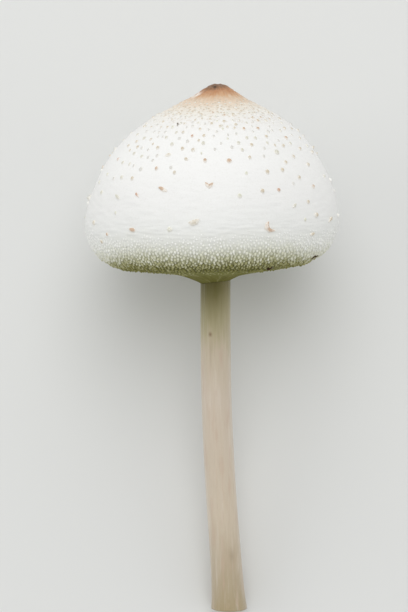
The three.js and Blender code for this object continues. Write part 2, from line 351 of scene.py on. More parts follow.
class Graph:
    """Adds nodes to a material's or a geometry modifier's tree, a short call each."""

    def __init__(self, tree: bpy.types.NodeTree) -> None:
        """Takes the tree to build in."""
        self.tree = tree

    def _feed(self, socket: bpy.types.NodeSocket, value: Any) -> None:
        """Links a node or a socket to an input, or sets the input to a plain value."""
        if isinstance(value, bpy.types.Node):
            value = value.outputs[0]
        if isinstance(value, bpy.types.NodeSocket):
            self.tree.links.new(value, socket)
        else:
            socket.default_value = value

    def node(self, kind: str, inputs: dict[str | int, Any] | None = None, **settings: Any) -> Any:
        """Adds one node.

        Args:
            kind: The node's type name.
            inputs: Values, sockets or nodes for its inputs, by name or number.
            settings: The node's own properties.

        Returns:
            The new node.
        """
        node = self.tree.nodes.new(kind)
        for name, value in settings.items():
            setattr(node, name, value)
        for key, value in (inputs or {}).items():
            self._feed(node.inputs[key], value)
        return node

    def math(self, operation: str, *values: Any) -> bpy.types.NodeSocket:
        """Does arithmetic on one or two values."""
        return self.node("ShaderNodeMath", dict(enumerate(values)), operation=operation).outputs[0]

    def add(self, first: Any, second: Any) -> bpy.types.NodeSocket:
        """Adds two values."""
        return self.math("ADD", first, second)

    def times(self, first: Any, second: Any) -> bpy.types.NodeSocket:
        """Multiplies two values."""
        return self.math("MULTIPLY", first, second)

    def vector_math(self, operation: str, *values: Any) -> bpy.types.NodeSocket:
        """Does arithmetic on vectors."""
        inputs = dict(enumerate(values))
        return self.node("ShaderNodeVectorMath", inputs, operation=operation).outputs[0]

    def scaled(self, vector: Any, factor: Any) -> bpy.types.NodeSocket:
        """Multiplies a vector by one number."""
        inputs = {0: vector, "Scale": factor}
        return self.node("ShaderNodeVectorMath", inputs, operation="SCALE").outputs[0]

    def sideways(self, vector: Any) -> bpy.types.NodeSocket:
        """Gives a vector's first coordinate."""
        return self.node("ShaderNodeSeparateXYZ", {0: vector}).outputs[0]

    def mix(self, factor: Any, first: Any, second: Any, blend: str = "MIX") -> bpy.types.NodeSocket:
        """Mixes two colours."""
        node = self.node("ShaderNodeMix", {0: factor}, data_type="RGBA", blend_type=blend)
        for index, value in ((6, first), (7, second)):
            self._feed(node.inputs[index], value)
        return node.outputs[2]

    def ramp(self, value: Any, stops: Stops) -> bpy.types.NodeSocket:
        """Colours a value by stops.

        Args:
            value: The value to colour.
            stops: The value and the colour at each stop, in rising order.

        Returns:
            The colour.
        """
        low, high = stops[0][0], stops[-1][0]
        share = self.node("ShaderNodeMapRange", {"Value": value, "From Min": low, "From Max": high})
        node = self.node("ShaderNodeValToRGB", {"Fac": share.outputs["Result"]})
        elements = node.color_ramp.elements
        while len(elements) < len(stops):
            elements.new(0.5)
        for element, (position, tint) in zip(elements, stops):
            element.position = (position - low) / (high - low)
            element.color = tint
        return node.outputs["Color"]

    def reading(self, name: str, output: str = "Fac") -> bpy.types.NodeSocket:
        """Reads one of the mesh's own attributes."""
        return self.node("ShaderNodeAttribute", attribute_name=name).outputs[output]


@dataclass(frozen=True)
class Grain:
    """A noise pattern, by its scale, its fineness and how it is squeezed along x, y and z."""

    scale: float
    detail: float = 3
    roughness: float = 0.5
    squeeze: tuple[float, float, float] = (1, 1, 1)

    def over(self, graph: Graph, place: Any) -> bpy.types.NodeSocket:
        """Spreads the pattern over a place.

        Args:
            graph: The material's graph.
            place: The place, as a vector socket.

        Returns:
            The pattern's value.
        """
        inputs = {
            "Vector": graph.vector_math("MULTIPLY", place, self.squeeze),
            "Scale": self.scale,
            "Detail": self.detail,
            "Roughness": self.roughness,
        }
        return graph.node("ShaderNodeTexNoise", inputs).outputs[0]


@dataclass(frozen=True)
class Band:
    """A range of values and the range that it becomes, smoothly and held at its ends."""

    low: float
    high: float
    to_low: float = 0.0
    to_high: float = 1.0

    def of(self, graph: Graph, value: Any) -> bpy.types.NodeSocket:
        """Gives a value as the band maps it."""
        inputs = {
            "Value": value,
            "From Min": self.low,
            "From Max": self.high,
            "To Min": self.to_low,
            "To Max": self.to_high,
        }
        node = graph.node("ShaderNodeMapRange", inputs, interpolation_type="SMOOTHSTEP")
        return node.outputs["Result"]


@dataclass(frozen=True)
class Finish:
    """A matt surface with a colour and a relief of its own. The relief is in millimetres."""

    laying: Laying
    name: str = "plain"
    roughness: float = 0.8
    relief: float = 0.08
    sheen: float = 0.0
    sheen_roughness: float = 0.5
    specular: float = 0.25
    plain_grey: Colour = (0.8, 0.8, 0.8, 1)

    def paint(self, graph: Graph) -> tuple[Any, Any]:
        """Builds the colour, and the height of the relief from 0 to 1."""
        raise NotImplementedError

    def place(self, graph: Graph) -> Any:
        """Gives the shaded point on the mushroom's upright frame, in millimetres.

        Args:
            graph: The material's graph.

        Returns:
            The place, as a vector socket.
        """
        back = self.laying.matrix.inverted()
        inputs = {
            "Vector": graph.node("ShaderNodeTexCoord").outputs["Object"],
            "Location": back.translation,
            "Rotation": back.to_euler(),
            "Scale": back.to_scale(),
        }
        return graph.node("ShaderNodeMapping", inputs, vector_type="POINT").outputs[0]

    def material(self) -> bpy.types.Material:
        """Makes the material.

        Returns:
            The new material.
        """
        material = bpy.data.materials.new(self.name)
        material.use_nodes = True
        material.node_tree.nodes.clear()
        graph = Graph(material.node_tree)
        tint, height = self.paint(graph)
        bump = {"Height": height, "Distance": self.relief * MM, "Strength": 1.0}
        surface = {
            "Base Color": tint,
            "Roughness": self.roughness,
            "Normal": graph.node("ShaderNodeBump", bump),
            "Specular IOR Level": self.specular,
            "Sheen Weight": self.sheen,
            "Sheen Roughness": self.sheen_roughness,
        }
        shader = graph.node("ShaderNodeBsdfPrincipled", surface)
        graph.node("ShaderNodeOutputMaterial", {"Surface": shader})
        material.diffuse_color = self.plain_grey
        return material


@dataclass(frozen=True)
class RimFinish(Finish):
    """A finish turned olive towards the cap's edge by painted shade and painted bounce light, less so at
    its two sides.
    """

    # Painted shade: the olive and the dark towards the edge stand in for shade and green light from
    # below.
    edge: Stops = tint_stops(
        (0.0, 104, 102, 46), (2.5, 106, 105, 46), (4.6, 128, 127, 72),
        (7.0, 185, 185, 152), (10.0, 226, 227, 215), (13.0, 240, 241, 236),
        (17.0, 242, 243, 241), (24.0, 245, 245, 244), (34.0, 249, 249, 248),
    )
    middle: float = -3.0
    side_shift: Band = Band(20, 31, 0, 2.5)

    def painted_shade_side_shift(self, graph: Graph, place: Any) -> Any:
        """Gives how many millimetres the painted olive shade is pushed towards the edge at the cap's two
        sides.
        """
        across = graph.math("ABSOLUTE", graph.math("SUBTRACT", graph.sideways(place), self.middle))
        return self.side_shift.of(graph, across)


@dataclass(frozen=True)
class SkinFinish(RimFinish):
    """The cap's white skin, brown at its knob."""

    name: str = "cap_skin"
    roughness: float = 0.72
    relief: float = 0.12
    sheen: float = 0.12
    knob: Stops = tint_stops(
        (0.0, 134, 101, 76), (1.4, 128, 95, 70), (3.3, 148, 109, 78), (4.6, 184, 131, 92),
        (6.2, 199, 151, 112), (8.0, 217, 183, 150), (10.4, 231, 210, 188), (13.5, 238, 228, 214),
        (17.0, 243, 240, 233), (21.0, 245, 244, 242), (28.0, 247, 247, 246),
    )
    knob_tilt: float = 0.08
    blotches: Grain = Grain(0.22, 2)
    blotch_drift: Band = Band(0.3, 0.7, -0.8, 0.8)
    streaks: Grain = Grain(1.6, 4, 0.6, (1, 1, 0.12))
    streak_drift: Band = Band(0.3, 0.7, -0.7, 0.7)
    flecks: Grain = Grain(2.0, 3, 0.6)
    fleck_band: Band = Band(0.48, 0.72, 0.0, 0.13)
    fleck: Colour = colour(206, 203, 192)
    stain: Colour = colour(60, 46, 38)
    # Painted highlight: the white glint on the knob's left flank.
    painted_glint: Colour = colour(243, 238, 230)
    specks_end: Band = Band(26, 14)
    specks_start: Band = Band(5, 10)
    speck_scale: float = 0.95
    speck_band: Band = Band(0.46, 0.2, 0.0, 0.8)
    speck: Colour = colour(205, 189, 167)
    fibres: Grain = Grain(1.5, 4, 0.6, (0.45, 0.45, 2.2))
    grain: Grain = Grain(3.2, 4, 0.65)

    def paint(self, graph: Graph) -> tuple[Any, Any]:
        """Builds the skin's colour and its relief."""
        place = self.place(graph)
        along = graph.reading("from_tip")
        drift = self.blotch_drift.of(graph, self.blotches.over(graph, place))
        streak = self.streaks.over(graph, graph.reading("round_place", "Vector"))
        wander = graph.add(drift, self.streak_drift.of(graph, streak))
        sideways = graph.times(graph.sideways(place), self.knob_tilt)
        top = graph.ramp(graph.add(graph.add(along, wander), sideways), self.knob)
        shift = graph.add(drift, self.painted_shade_side_shift(graph, place))
        # Painted shade and painted bounce light: the skin turns olive towards the cap's edge.
        low = graph.ramp(graph.add(graph.reading("from_edge"), shift), self.edge)
        tint = graph.mix(1.0, top, low, "MULTIPLY")
        flecks = self.fleck_band.of(graph, self.flecks.over(graph, place))
        tint = graph.mix(flecks, tint, self.fleck)
        tint = graph.mix(graph.reading("dark"), tint, self.stain)
        # Painted highlight on the knob's left flank.
        tint = graph.mix(graph.reading("pale"), tint, self.painted_glint)
        speckled = graph.times(self.specks_end.of(graph, along), self.specks_start.of(graph, along))
        cells = graph.node("ShaderNodeTexVoronoi", {"Vector": place, "Scale": self.speck_scale})
        speck = self.speck_band.of(graph, cells.outputs["Distance"])
        tint = graph.mix(graph.times(speckled, speck), tint, self.speck)
        relief = graph.add(self.fibres.over(graph, place), self.grain.over(graph, place))
        return tint, graph.times(relief, 0.5)


@dataclass(frozen=True)
class WartFinish(RimFinish):
    """The warts, pale at their points and olive down in the furrows, the olive being painted shade and
    bounce light.
    """

    name: str = "cap_warts"
    roughness: float = 0.7
    sheen: float = 0.1
    # Painted shade: the olive of the points near the edge stands in for shade and green light from
    # below.
    point: Stops = tint_stops(
        (0.0, 126, 124, 62), (2.5, 150, 148, 88), (4.8, 189, 187, 143),
        (7.5, 227, 227, 207), (13.0, 248, 248, 245),
    )
    luck: Band = Band(0.2, 0.8, -1.5, 1.5)
    point_band: Band = Band(0.15, 0.75)
    grain: Grain = Grain(4.0)

    def paint(self, graph: Graph) -> tuple[Any, Any]:
        """Builds the warts' colour and relief."""
        place = self.place(graph)
        edge = graph.add(graph.reading("from_edge"), self.painted_shade_side_shift(graph, place))
        # The furrows take the rim's painted shade and bounce light.
        furrow = graph.ramp(edge, self.edge)
        point = graph.ramp(graph.add(edge, self.luck.of(graph, graph.reading("tone"))), self.point)
        tint = graph.mix(self.point_band.of(graph, graph.reading("peak")), furrow, point)
        return tint, self.grain.over(graph, place)


@dataclass(frozen=True)
class ScaleFinish(Finish):
    """The scales, whose points have a colour of their own by their tone."""

    name: str = "cap_scales"
    roughness: float = 0.75
    # The last and darkest stop is painted shade, for slits and bites.
    point: Stops = tint_stops(
        (0.0, 248, 248, 245), (0.14, 221, 221, 204), (0.29, 216, 215, 210),
        (0.43, 216, 214, 200), (0.57, 216, 208, 192), (0.71, 211, 200, 180),
        (0.83, 206, 180, 157), (0.92, 207, 171, 150), (1.0, 70, 50, 28),
    )
    side: Colour = colour(245, 243, 236)
    side_tint: float = 0.2
    mottle: Grain = Grain(1.6, 2)
    mottle_band: Band = Band(0.35, 0.65, -0.2, 0.15)
    point_band: Band = Band(0.2, 0.8)
    grain: Grain = Grain(3.5)

    def paint(self, graph: Graph) -> tuple[Any, Any]:
        """Builds the scales' colour and relief."""
        place = self.place(graph)
        point = graph.ramp(graph.reading("tone"), self.point)
        side = graph.mix(self.side_tint, self.side, point)
        mottle = self.mottle_band.of(graph, self.mottle.over(graph, place))
        peak = graph.add(graph.reading("peak"), mottle)
        tint = graph.mix(self.point_band.of(graph, peak), side, point)
        return tint, self.grain.over(graph, place)


@dataclass(frozen=True)
class VeilFinish(Finish):
    """The olive veil, with its faint radial streaks; its olive is painted shade and painted green light
    from below.
    """

    name: str = "veil"
    roughness: float = 0.85
    relief: float = 0.16
    # Painted shade and bounce light: the olive, darker towards the stem, stands in for shade under the
    # cap.
    inner: Colour = colour(110, 107, 46)
    outer: Colour = colour(125, 126, 64)
    pale: Colour = colour(160, 156, 112)
    dark: Colour = colour(86, 82, 34)
    streaks: Grain = Grain(1.3, 4, 0.6, (1, 1, 0.15))
    pale_band: Band = Band(0.5, 0.72, 0, 0.6)
    dark_band: Band = Band(0.5, 0.3, 0, 0.4)
    grain: Grain = Grain(2.5, 4)

    def paint(self, graph: Graph) -> tuple[Any, Any]:
        """Builds the veil's colour and relief."""
        streak = self.streaks.over(graph, graph.reading("round_place", "Vector"))
        tint = graph.mix(graph.reading("share"), self.inner, self.outer)
        tint = graph.mix(self.pale_band.of(graph, streak), tint, self.pale)
        tint = graph.mix(self.dark_band.of(graph, streak), tint, self.dark)
        return tint, graph.add(streak, self.grain.over(graph, self.place(graph)))


@dataclass(frozen=True)
class StemFinish(Finish):
    """The stem, with its silky fibres, its olive top of painted shade under the cap, and the pale flesh
    of its cut.
    """

    name: str = "stem_fibres"
    roughness: float = 0.55
    sheen: float = 0.5
    # Painted shade: from about 79 mm up, the olive stands in for the cap's shade and green light from
    # below.
    skin: Stops = tint_stops(
        (0.0, 166, 150, 116), (9.0, 178, 163, 136), (28.0, 203, 189, 168),
        (62.0, 204, 190, 172), (73.0, 197, 184, 162), (79.0, 180, 170, 138),
        (84.5, 154, 146, 108), (89.5, 122, 115, 68), (93.5, 97, 91, 36),
    )
    silk: Colour = colour(222, 214, 202)
    blush: Colour = colour(196, 172, 152)
    thread: Colour = colour(150, 128, 100)
    # Colour of the stem's stains and of one painted shadow line.
    stain: Colour = colour(120, 92, 62)
    flesh: Colour = colour(228, 219, 200)
    core: Colour = colour(206, 190, 162)
    fibres: Grain = Grain(2.6, 5, 0.65, (1, 1, 0.06))
    sheets: Grain = Grain(0.9, 3, 0.5, (1, 1, 0.06))
    broad: Grain = Grain(0.7, 3, 0.5, (1, 1, 0.15))
    grain: Grain = Grain(3, 4)
    grain_share: float = 0.4
    skin_drift: Band = Band(0.3, 0.7, -2.5, 2.5)
    silk_band: Band = Band(0.52, 0.8, 0, 0.25)
    thread_band: Band = Band(0.46, 0.2, 0, 0.25)
    sheet_band: Band = Band(0.5, 0.75, 0, 0.28)
    blush_band: Band = Band(0.5, 0.3, 0, 0.45)
    shade_band: Band = Band(70, 88, 0, 0.9)
    shade_slant: float = 1.2
    flesh_band: Band = Band(0.6, 0.9)
    cut_band: Band = Band(0.2, 0.5)

    def paint(self, graph: Graph) -> tuple[Any, Any]:
        """Builds the stem's colour and relief."""
        place, height, cut = self.place(graph), graph.reading("height"), graph.reading("cut")
        grains = (self.fibres, self.sheets, self.broad)
        fibres, sheets, broad = (grain.over(graph, place) for grain in grains)
        tint = graph.ramp(graph.add(height, self.skin_drift.of(graph, broad)), self.skin)
        for band, pattern, layer in (
            (self.silk_band, fibres, self.silk),
            (self.thread_band, fibres, self.thread),
            (self.sheet_band, sheets, self.silk),
            (self.blush_band, broad, self.blush),
        ):
            tint = graph.mix(band.of(graph, pattern), tint, layer)
        # Painted shade under the cap, lighter on the right side.
        rightward = graph.math("MAXIMUM", graph.sideways(place), 0)
        slanted = graph.math("SUBTRACT", height, graph.times(rightward, self.shade_slant))
        tint = graph.mix(self.shade_band.of(graph, height), tint, graph.ramp(slanted, self.skin))
        # Stains, and one painted shadow line down the stem.
        tint = graph.mix(graph.reading("stains_and_painted_shadow"), tint, self.stain)
        flesh = graph.mix(self.flesh_band.of(graph, cut), self.core, self.flesh)
        tint = graph.mix(self.cut_band.of(graph, cut), tint, flesh)
        return tint, graph.add(fibres, graph.times(self.grain.over(graph, place), self.grain_share))


@dataclass(frozen=True)
class FloorFinish(Finish):
    """The pale floor, all but even."""

    name: str = "floor"
    roughness: float = 0.9
    relief: float = 0.1
    dark: Colour = colour(220, 221, 219)
    light: Colour = colour(225, 226, 224)
    cloud: Grain = Grain(3.0, 2)

    def paint(self, graph: Graph) -> tuple[Any, Any]:
        """Builds the floor's tint and relief."""
        cloud = self.cloud.over(graph, graph.node("ShaderNodeTexCoord").outputs["Object"])
        return graph.mix(cloud, self.dark, self.light), cloud


def grid_normals(points: Points) -> Points:
    """Gives the outward directions of a closed-round grid that runs downwards.

    Args:
        points: The grid, with rows going down and columns going round.

    Returns:
        Unit vectors of the same shape.
    """
    down = np.gradient(points, axis=0)
    onward = np.roll(points, -1, axis=1) - np.roll(points, 1, axis=1)
    normal = np.cross(down, onward)
    return normal / np.maximum(np.linalg.norm(normal, axis=-1, keepdims=True), TINY)


def ring_faces(rows: int, columns: int, first: int = 0, closes: bool = False) -> Faces:
    """Gives the faces between rings of equal numbers of points.

    Args:
        rows: Number of rings.
        columns: Number of points in a ring.
        first: Index of the first point.
        closes: Whether the last ring joins the first.

    Returns:
        The faces, as four indices each, facing out where the rings run down.
    """
    faces = []
    for row in range(rows if closes else rows - 1):
        upper = first + row * columns
        lower = first + (row + 1) % rows * columns
        for i in range(columns):
            j = (i + 1) % columns
            faces.append((upper + i, lower + i, lower + j, upper + j))
    return faces


def capped_faces(rows: int, columns: int) -> Faces:
    """Gives the faces of rings that two more points close, one at each end.

    Args:
        rows: Number of rings.
        columns: Number of points in a ring.

    Returns:
        The faces, where the two points come after those of the rings.
    """
    faces = ring_faces(rows, columns)
    top, last = rows * columns, (rows - 1) * columns
    for i in range(columns):
        j = (i + 1) % columns
        faces += [(top, i, j), (last + i, top + 1, last + j)]
    return faces


def make_piece(
    name: str,
    points: Points,
    faces: Sequence[tuple[int, ...]],
    attributes: dict[str, Points] | None = None,
    material: bpy.types.Material | None = None,
) -> bpy.types.Object:
    """Makes an object from placed points, with its place in its mesh.

    Args:
        name: The object's name.
        points: The points in metres.
        faces: The faces' indices.
        attributes: Numbers or vectors for each point, by name.
        material: The finish of every face.

    Returns:
        The new object, in the scene.
    """
    mesh = bpy.data.meshes.new(name)
    mesh.from_pydata(points.reshape(-1, 3).tolist(), [], faces)
    for key, values in (attributes or {}).items():
        flat = np.asarray(values, np.float32)
        is_vector = flat.ndim > 1
        layer = mesh.attributes.new(key, "FLOAT_VECTOR" if is_vector else "FLOAT", "POINT")
        layer.data.foreach_set("vector" if is_vector else "value", flat.ravel())
    mesh.polygons.foreach_set("use_smooth", [True] * len(mesh.polygons))
    if material:
        mesh.materials.append(material)
    mesh.update()
    piece = bpy.data.objects.new(name, mesh)
    bpy.context.scene.collection.objects.link(piece)
    return piece


def hand_over(piece: bpy.types.Object, slot: str, *replaced: str) -> bpy.types.Object:
    """Lets a finished piece ride on the mushroom's body, and hides the solids that it stands for.

    Args:
        piece: The finished piece.
        slot: Not used.
        replaced: The solids that the piece stands for.

    Returns:
        The same piece.
    """
    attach(piece, BODY)
    if replaced:
        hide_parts(*replaced)
    triangles = sum(len(face.vertices) - 2 for face in piece.data.polygons)
    log.info("%s: %d triangles", piece.name, triangles)
    return piece


def make_host(placed: Points, cover: Points, size: Points, from_edge: Points) -> bpy.types.Object:
    """Makes a skin for growths to grow on, from the rows where there are any.

    Args:
        placed: The skin's grid in metres, with rows going down and columns going round.
        cover: Share of the growths that is kept, which is none close to the floor.
        size: How large they are.
        from_edge: Distance from the cap's edge, in millimetres.

    Returns:
        The host.
    """
    cover = cover * (placed[..., 2] > CLEAR_OF_FLOOR * MM)
    rows = np.flatnonzero(cover.max(axis=1) > 0)
    kept = slice(max(rows[0] - 1, 0), rows[-1] + 2)
    down = np.gradient(placed, axis=0)
    down /= np.maximum(np.linalg.norm(down, axis=-1, keepdims=True), TINY)
    attributes = {
        "cover": cover[kept].ravel(),
        "size": size[kept].ravel(),
        "from_edge": from_edge[kept].ravel(),
        "down": down[kept].reshape(-1, 3),
    }
    return make_piece("host", placed[kept], ring_faces(*placed[kept].shape[:2]), attributes)


class Growth(Enum):
    """What grows out of a skin."""

    WART = "wart"
    SCALE = "scale"


class Tone(Enum):
    """The colours of the scales' points, as places on one ramp."""

    WHITE = 0.0
    CREAM = 0.14
    GREY = 0.29
    OLIVE = 0.43
    PEACH = 0.57
    TAN = 0.71
    BROWN = 0.83
    RUST = 0.92
    # Painted shade: the dark inside slits and bites in the cap.
    PAINTED_SLIT_SHADE = 1.0


@dataclass(frozen=True)
class Patch:
    """A soft-edged patch, by its place in the picture in pixels and its size in millimetres."""

    column: float
    row: float
    half_width: float
    half_height: float
    slope: float = 0.0
    strength: float = 1.0

    def at(self, picture: Points, mm_per_px: float) -> Points:
        """Gives the patch's strength at its middle, and 0 away from it.

        Args:
            picture: Places in the picture.
            mm_per_px: Size of a pixel.

        Returns:
            One number for each place.
        """
        across = (picture[..., 0] - self.column) * mm_per_px
        down = (picture[..., 1] - self.row) * mm_per_px - self.slope * across
        away = (across / self.half_width) ** 2 + (down / self.half_height) ** 2
        return self.strength * np.exp(-away)


@dataclass(frozen=True)
class Mark:
    """One small scale, by its place in the picture in pixels and its size in millimetres."""

    column: float
    row: float
    width: float
    rise: float
    tone: Tone
    crest_from: float = 0.1

    def knots(self) -> list[tuple[float, ...]]:
        """Gives its knots: column, row, thickness, rise, how brown, and how far aside."""
        half, thickness, rise = 0.5 * self.width, 0.6 + 0.62 * self.width, 1.2 * self.rise
        return [(self.column, self.row, thickness, rise, 1.0, aside) for aside in (-half, 0, half)]


@dataclass(frozen=True)
class Ridge:
    """One large ragged scale, as a chain of knots across the picture."""

    chain: tuple[tuple[float, float, float, float, float], ...]
    tone: Tone

    def knots(self) -> list[tuple[float, ...]]:
        """Gives its knots: column, row, thickness, rise, how brown, and how far aside."""
        return [(*knot, 0.0) for knot in self.chain]

    @property
    def crest_from(self) -> float:
        """How far up its side the scale's own colour begins, which a slit of painted shade has all over.
        """
        return -1.6 if self.tone is Tone.PAINTED_SLIT_SHADE else 0.0


@dataclass(frozen=True)
class GrowthTree:
    """A geometry modifier that spreads small raised growths over a host skin, in millimetres.

    The host's points carry cover, the share of the growths that is kept, size, how large they are,
    and down, the direction that they hang in.
    """

    growth: Growth
    spacing: float
    width: float
    length: float
    height: float
    droop: float
    unevenness: float
    seed: int
    crowding: float = 4.0
    overhang: float = 1.6
    narrowing: float = 0.35
    size_luck: tuple[float, float] = (0.78, 1.25)
    shape_luck: tuple[float, float] = (0.8, 1.25)
    tones: tuple[float, float] = (0.2, 0.8)
    lump_scale: float = 1.1

    def build(self, name: str) -> bpy.types.NodeTree:
        """Builds the tree.

        Args:
            name: The tree's name.

        Returns:
            The tree, which ends in plain faces with their material.
        """
        tree = bpy.data.node_groups.new(name, "GeometryNodeTree")
        kinds = {"Host": "Geometry"}
        numbers = ("Spacing", "Width", "Length", "Height", "Droop", "Unevenness")
        kinds |= dict.fromkeys(numbers, "Float")
        kinds |= {"Seed": "Int", "Finish": "Material"}
        for label, kind in kinds.items():
            tree.interface.new_socket(label, in_out="INPUT", socket_type=f"NodeSocket{kind}")
        tree.interface.new_socket("Growths", in_out="OUTPUT", socket_type="NodeSocketGeometry")
        graph = Graph(tree)
        given = graph.node("NodeGroupInput").outputs
        points, normal = self._scatter(graph, given)
        shape = self._growth_shape(graph, given)
        placed = self._place(graph, given, points, normal, shape)
        real = graph.node("GeometryNodeRealizeInstances", {"Geometry": placed})
        uneven = self._roughen(graph, given, real)
        smooth = graph.node("GeometryNodeSetShadeSmooth", {"Geometry": uneven})
        inputs = {"Geometry": smooth, "Material": given["Finish"]}
        dressed = graph.node("GeometryNodeSetMaterial", inputs)
        graph.node("NodeGroupOutput", {0: dressed})
        return tree

    @staticmethod
    def _named(graph: Graph, name: str, kind: str = "FLOAT") -> Any:
        """Reads one of the host's attributes."""
        node = graph.node("GeometryNodeInputNamedAttribute", {"Name": name}, data_type=kind)
        return node.outputs[0]

    @staticmethod
    def _stored(graph: Graph, geometry: Any, name: str, value: Any, domain: str) -> Any:
        """Keeps a value as an attribute of points or of instances."""
        inputs = {"Geometry": geometry, "Name": name, "Value": value}
        settings = {"data_type": "FLOAT", "domain": domain}
        return graph.node("GeometryNodeStoreNamedAttribute", inputs, **settings)

    @staticmethod
    def _luck(graph: Graph, limits: tuple[float, float], seed: int) -> Any:
        """Draws a number for each growth."""
        inputs = {2: limits[0], 3: limits[1], "Seed": seed}
        return graph.node("FunctionNodeRandomValue", inputs).outputs[1]

    def _scatter(self, graph: Graph, given: Any) -> tuple[Any, Any]:
        """Spreads points over the host, no two nearer than the spacing."""
        area = graph.times(given["Spacing"], given["Spacing"])
        inputs = {
            "Mesh": given["Host"],
            "Distance Min": given["Spacing"],
            "Density Max": graph.math("DIVIDE", self.crowding, area),
            "Density Factor": self._named(graph, "cover"),
            "Seed": given["Seed"],
        }
        kind = "GeometryNodeDistributePointsOnFaces"
        spread = graph.node(kind, inputs, distribute_method="POISSON")
        return spread.outputs["Points"], spread.outputs["Normal"]

    def _growth_shape(self, graph: Graph, given: Any) -> Any:
        """Makes one growth, a low blob whose top hangs over, and keeps its height."""
        detail = 1 if self.growth is Growth.WART else 2
        ball = graph.node("GeometryNodeMeshIcoSphere", {"Radius": 1.0, "Subdivisions": detail})
        place = graph.node("GeometryNodeInputPosition")
        x, y, z = graph.node("ShaderNodeSeparateXYZ", {0: place}).outputs
        up = graph.math("MAXIMUM", z, 0)
        hang = graph.times(graph.math("POWER", up, self.overhang), given["Droop"])
        narrow = graph.math("SUBTRACT", 1, graph.times(up, self.narrowing))
        parts = {0: graph.times(x, narrow), 1: graph.add(graph.times(y, narrow), hang), 2: z}
        shaped = graph.node("ShaderNodeCombineXYZ", parts)
        marked = self._stored(graph, ball.outputs["Mesh"], "peak", up, "POINT")
        return graph.node("GeometryNodeSetPosition", {"Geometry": marked, "Position": shaped})

    def _place(self, graph: Graph, given: Any, points: Any, normal: Any, shape: Any) -> Any:
        """Puts a growth on each point, upright on the skin and turned to hang down."""
        upright = graph.node("FunctionNodeAlignRotationToVector", {"Vector": normal}, axis="Z")
        turned = {"Rotation": upright, "Vector": self._named(graph, "down", "FLOAT_VECTOR")}
        hanging = graph.node("FunctionNodeAlignRotationToVector", turned, axis="Y", pivot_axis="Z")
        size = self._named(graph, "size")
        scale = graph.times(size, self._luck(graph, self.size_luck, 5))
        spread = self._luck(graph, self.shape_luck, 9)
        parts = {
            0: graph.times(given["Width"], spread),
            1: graph.math("DIVIDE", given["Length"], spread),
            2: graph.times(given["Height"], size),
        }
        sizes = graph.scaled(graph.node("ShaderNodeCombineXYZ", parts), scale)
        inputs = {"Points": points, "Instance": shape, "Rotation": hanging, "Scale": sizes}
        instances = graph.node("GeometryNodeInstanceOnPoints", inputs)
        return self._stored(graph, instances, "tone", self._luck(graph, self.tones, 17), "INSTANCE")

    def _roughen(self, graph: Graph, given: Any, real: Any) -> Any:
        """Pushes the growths' points about, so that no two are alike."""
        inputs = {
            "Vector": graph.node("GeometryNodeInputPosition"),
            "Scale": self.lump_scale / MM,
            "Detail": 1.0,
        }
        texture = graph.node("ShaderNodeTexNoise", inputs)
        push = graph.vector_math("SUBTRACT", texture.outputs["Color"], (0.5, 0.5, 0.5))
        offset = graph.scaled(push, given["Unevenness"])
        return graph.node("GeometryNodeSetPosition", {"Geometry": real, "Offset": offset})

    def grow(
        self, name: str, host: bpy.types.Object, material: bpy.types.Material
    ) -> bpy.types.Object:
        """Grows a plain mesh over a host, which is then removed.

        Args:
            name: The new object's name.
            host: The skin to grow on.
            material: The growths' finish.

        Returns:
            The growths, as one object.
        """
        modifier = host.modifiers.new(name, "NODES")
        modifier.node_group = self.build(name)
        values = {
            "Spacing": self.spacing * MM,
            "Width": self.width * MM / 2,
            "Length": self.length * MM / 2,
            "Height": self.height * MM,
            "Droop": self.droop,
            "Unevenness": self.unevenness * MM,
            "Seed": self.seed,
            "Finish": material,
        }
        for item in modifier.node_group.interface.items_tree:
            if item.in_out == "INPUT" and item.name in values:
                modifier[item.identifier] = values[item.name]
        graph = bpy.context.evaluated_depsgraph_get()
        mesh = bpy.data.meshes.new_from_object(host.evaluated_get(graph), depsgraph=graph)
        mesh.name = name
        host_mesh = host.data
        bpy.data.objects.remove(host)
        bpy.data.meshes.remove(host_mesh)
        grown = bpy.data.objects.new(name, mesh)
        bpy.context.scene.collection.objects.link(grown)
        return grown


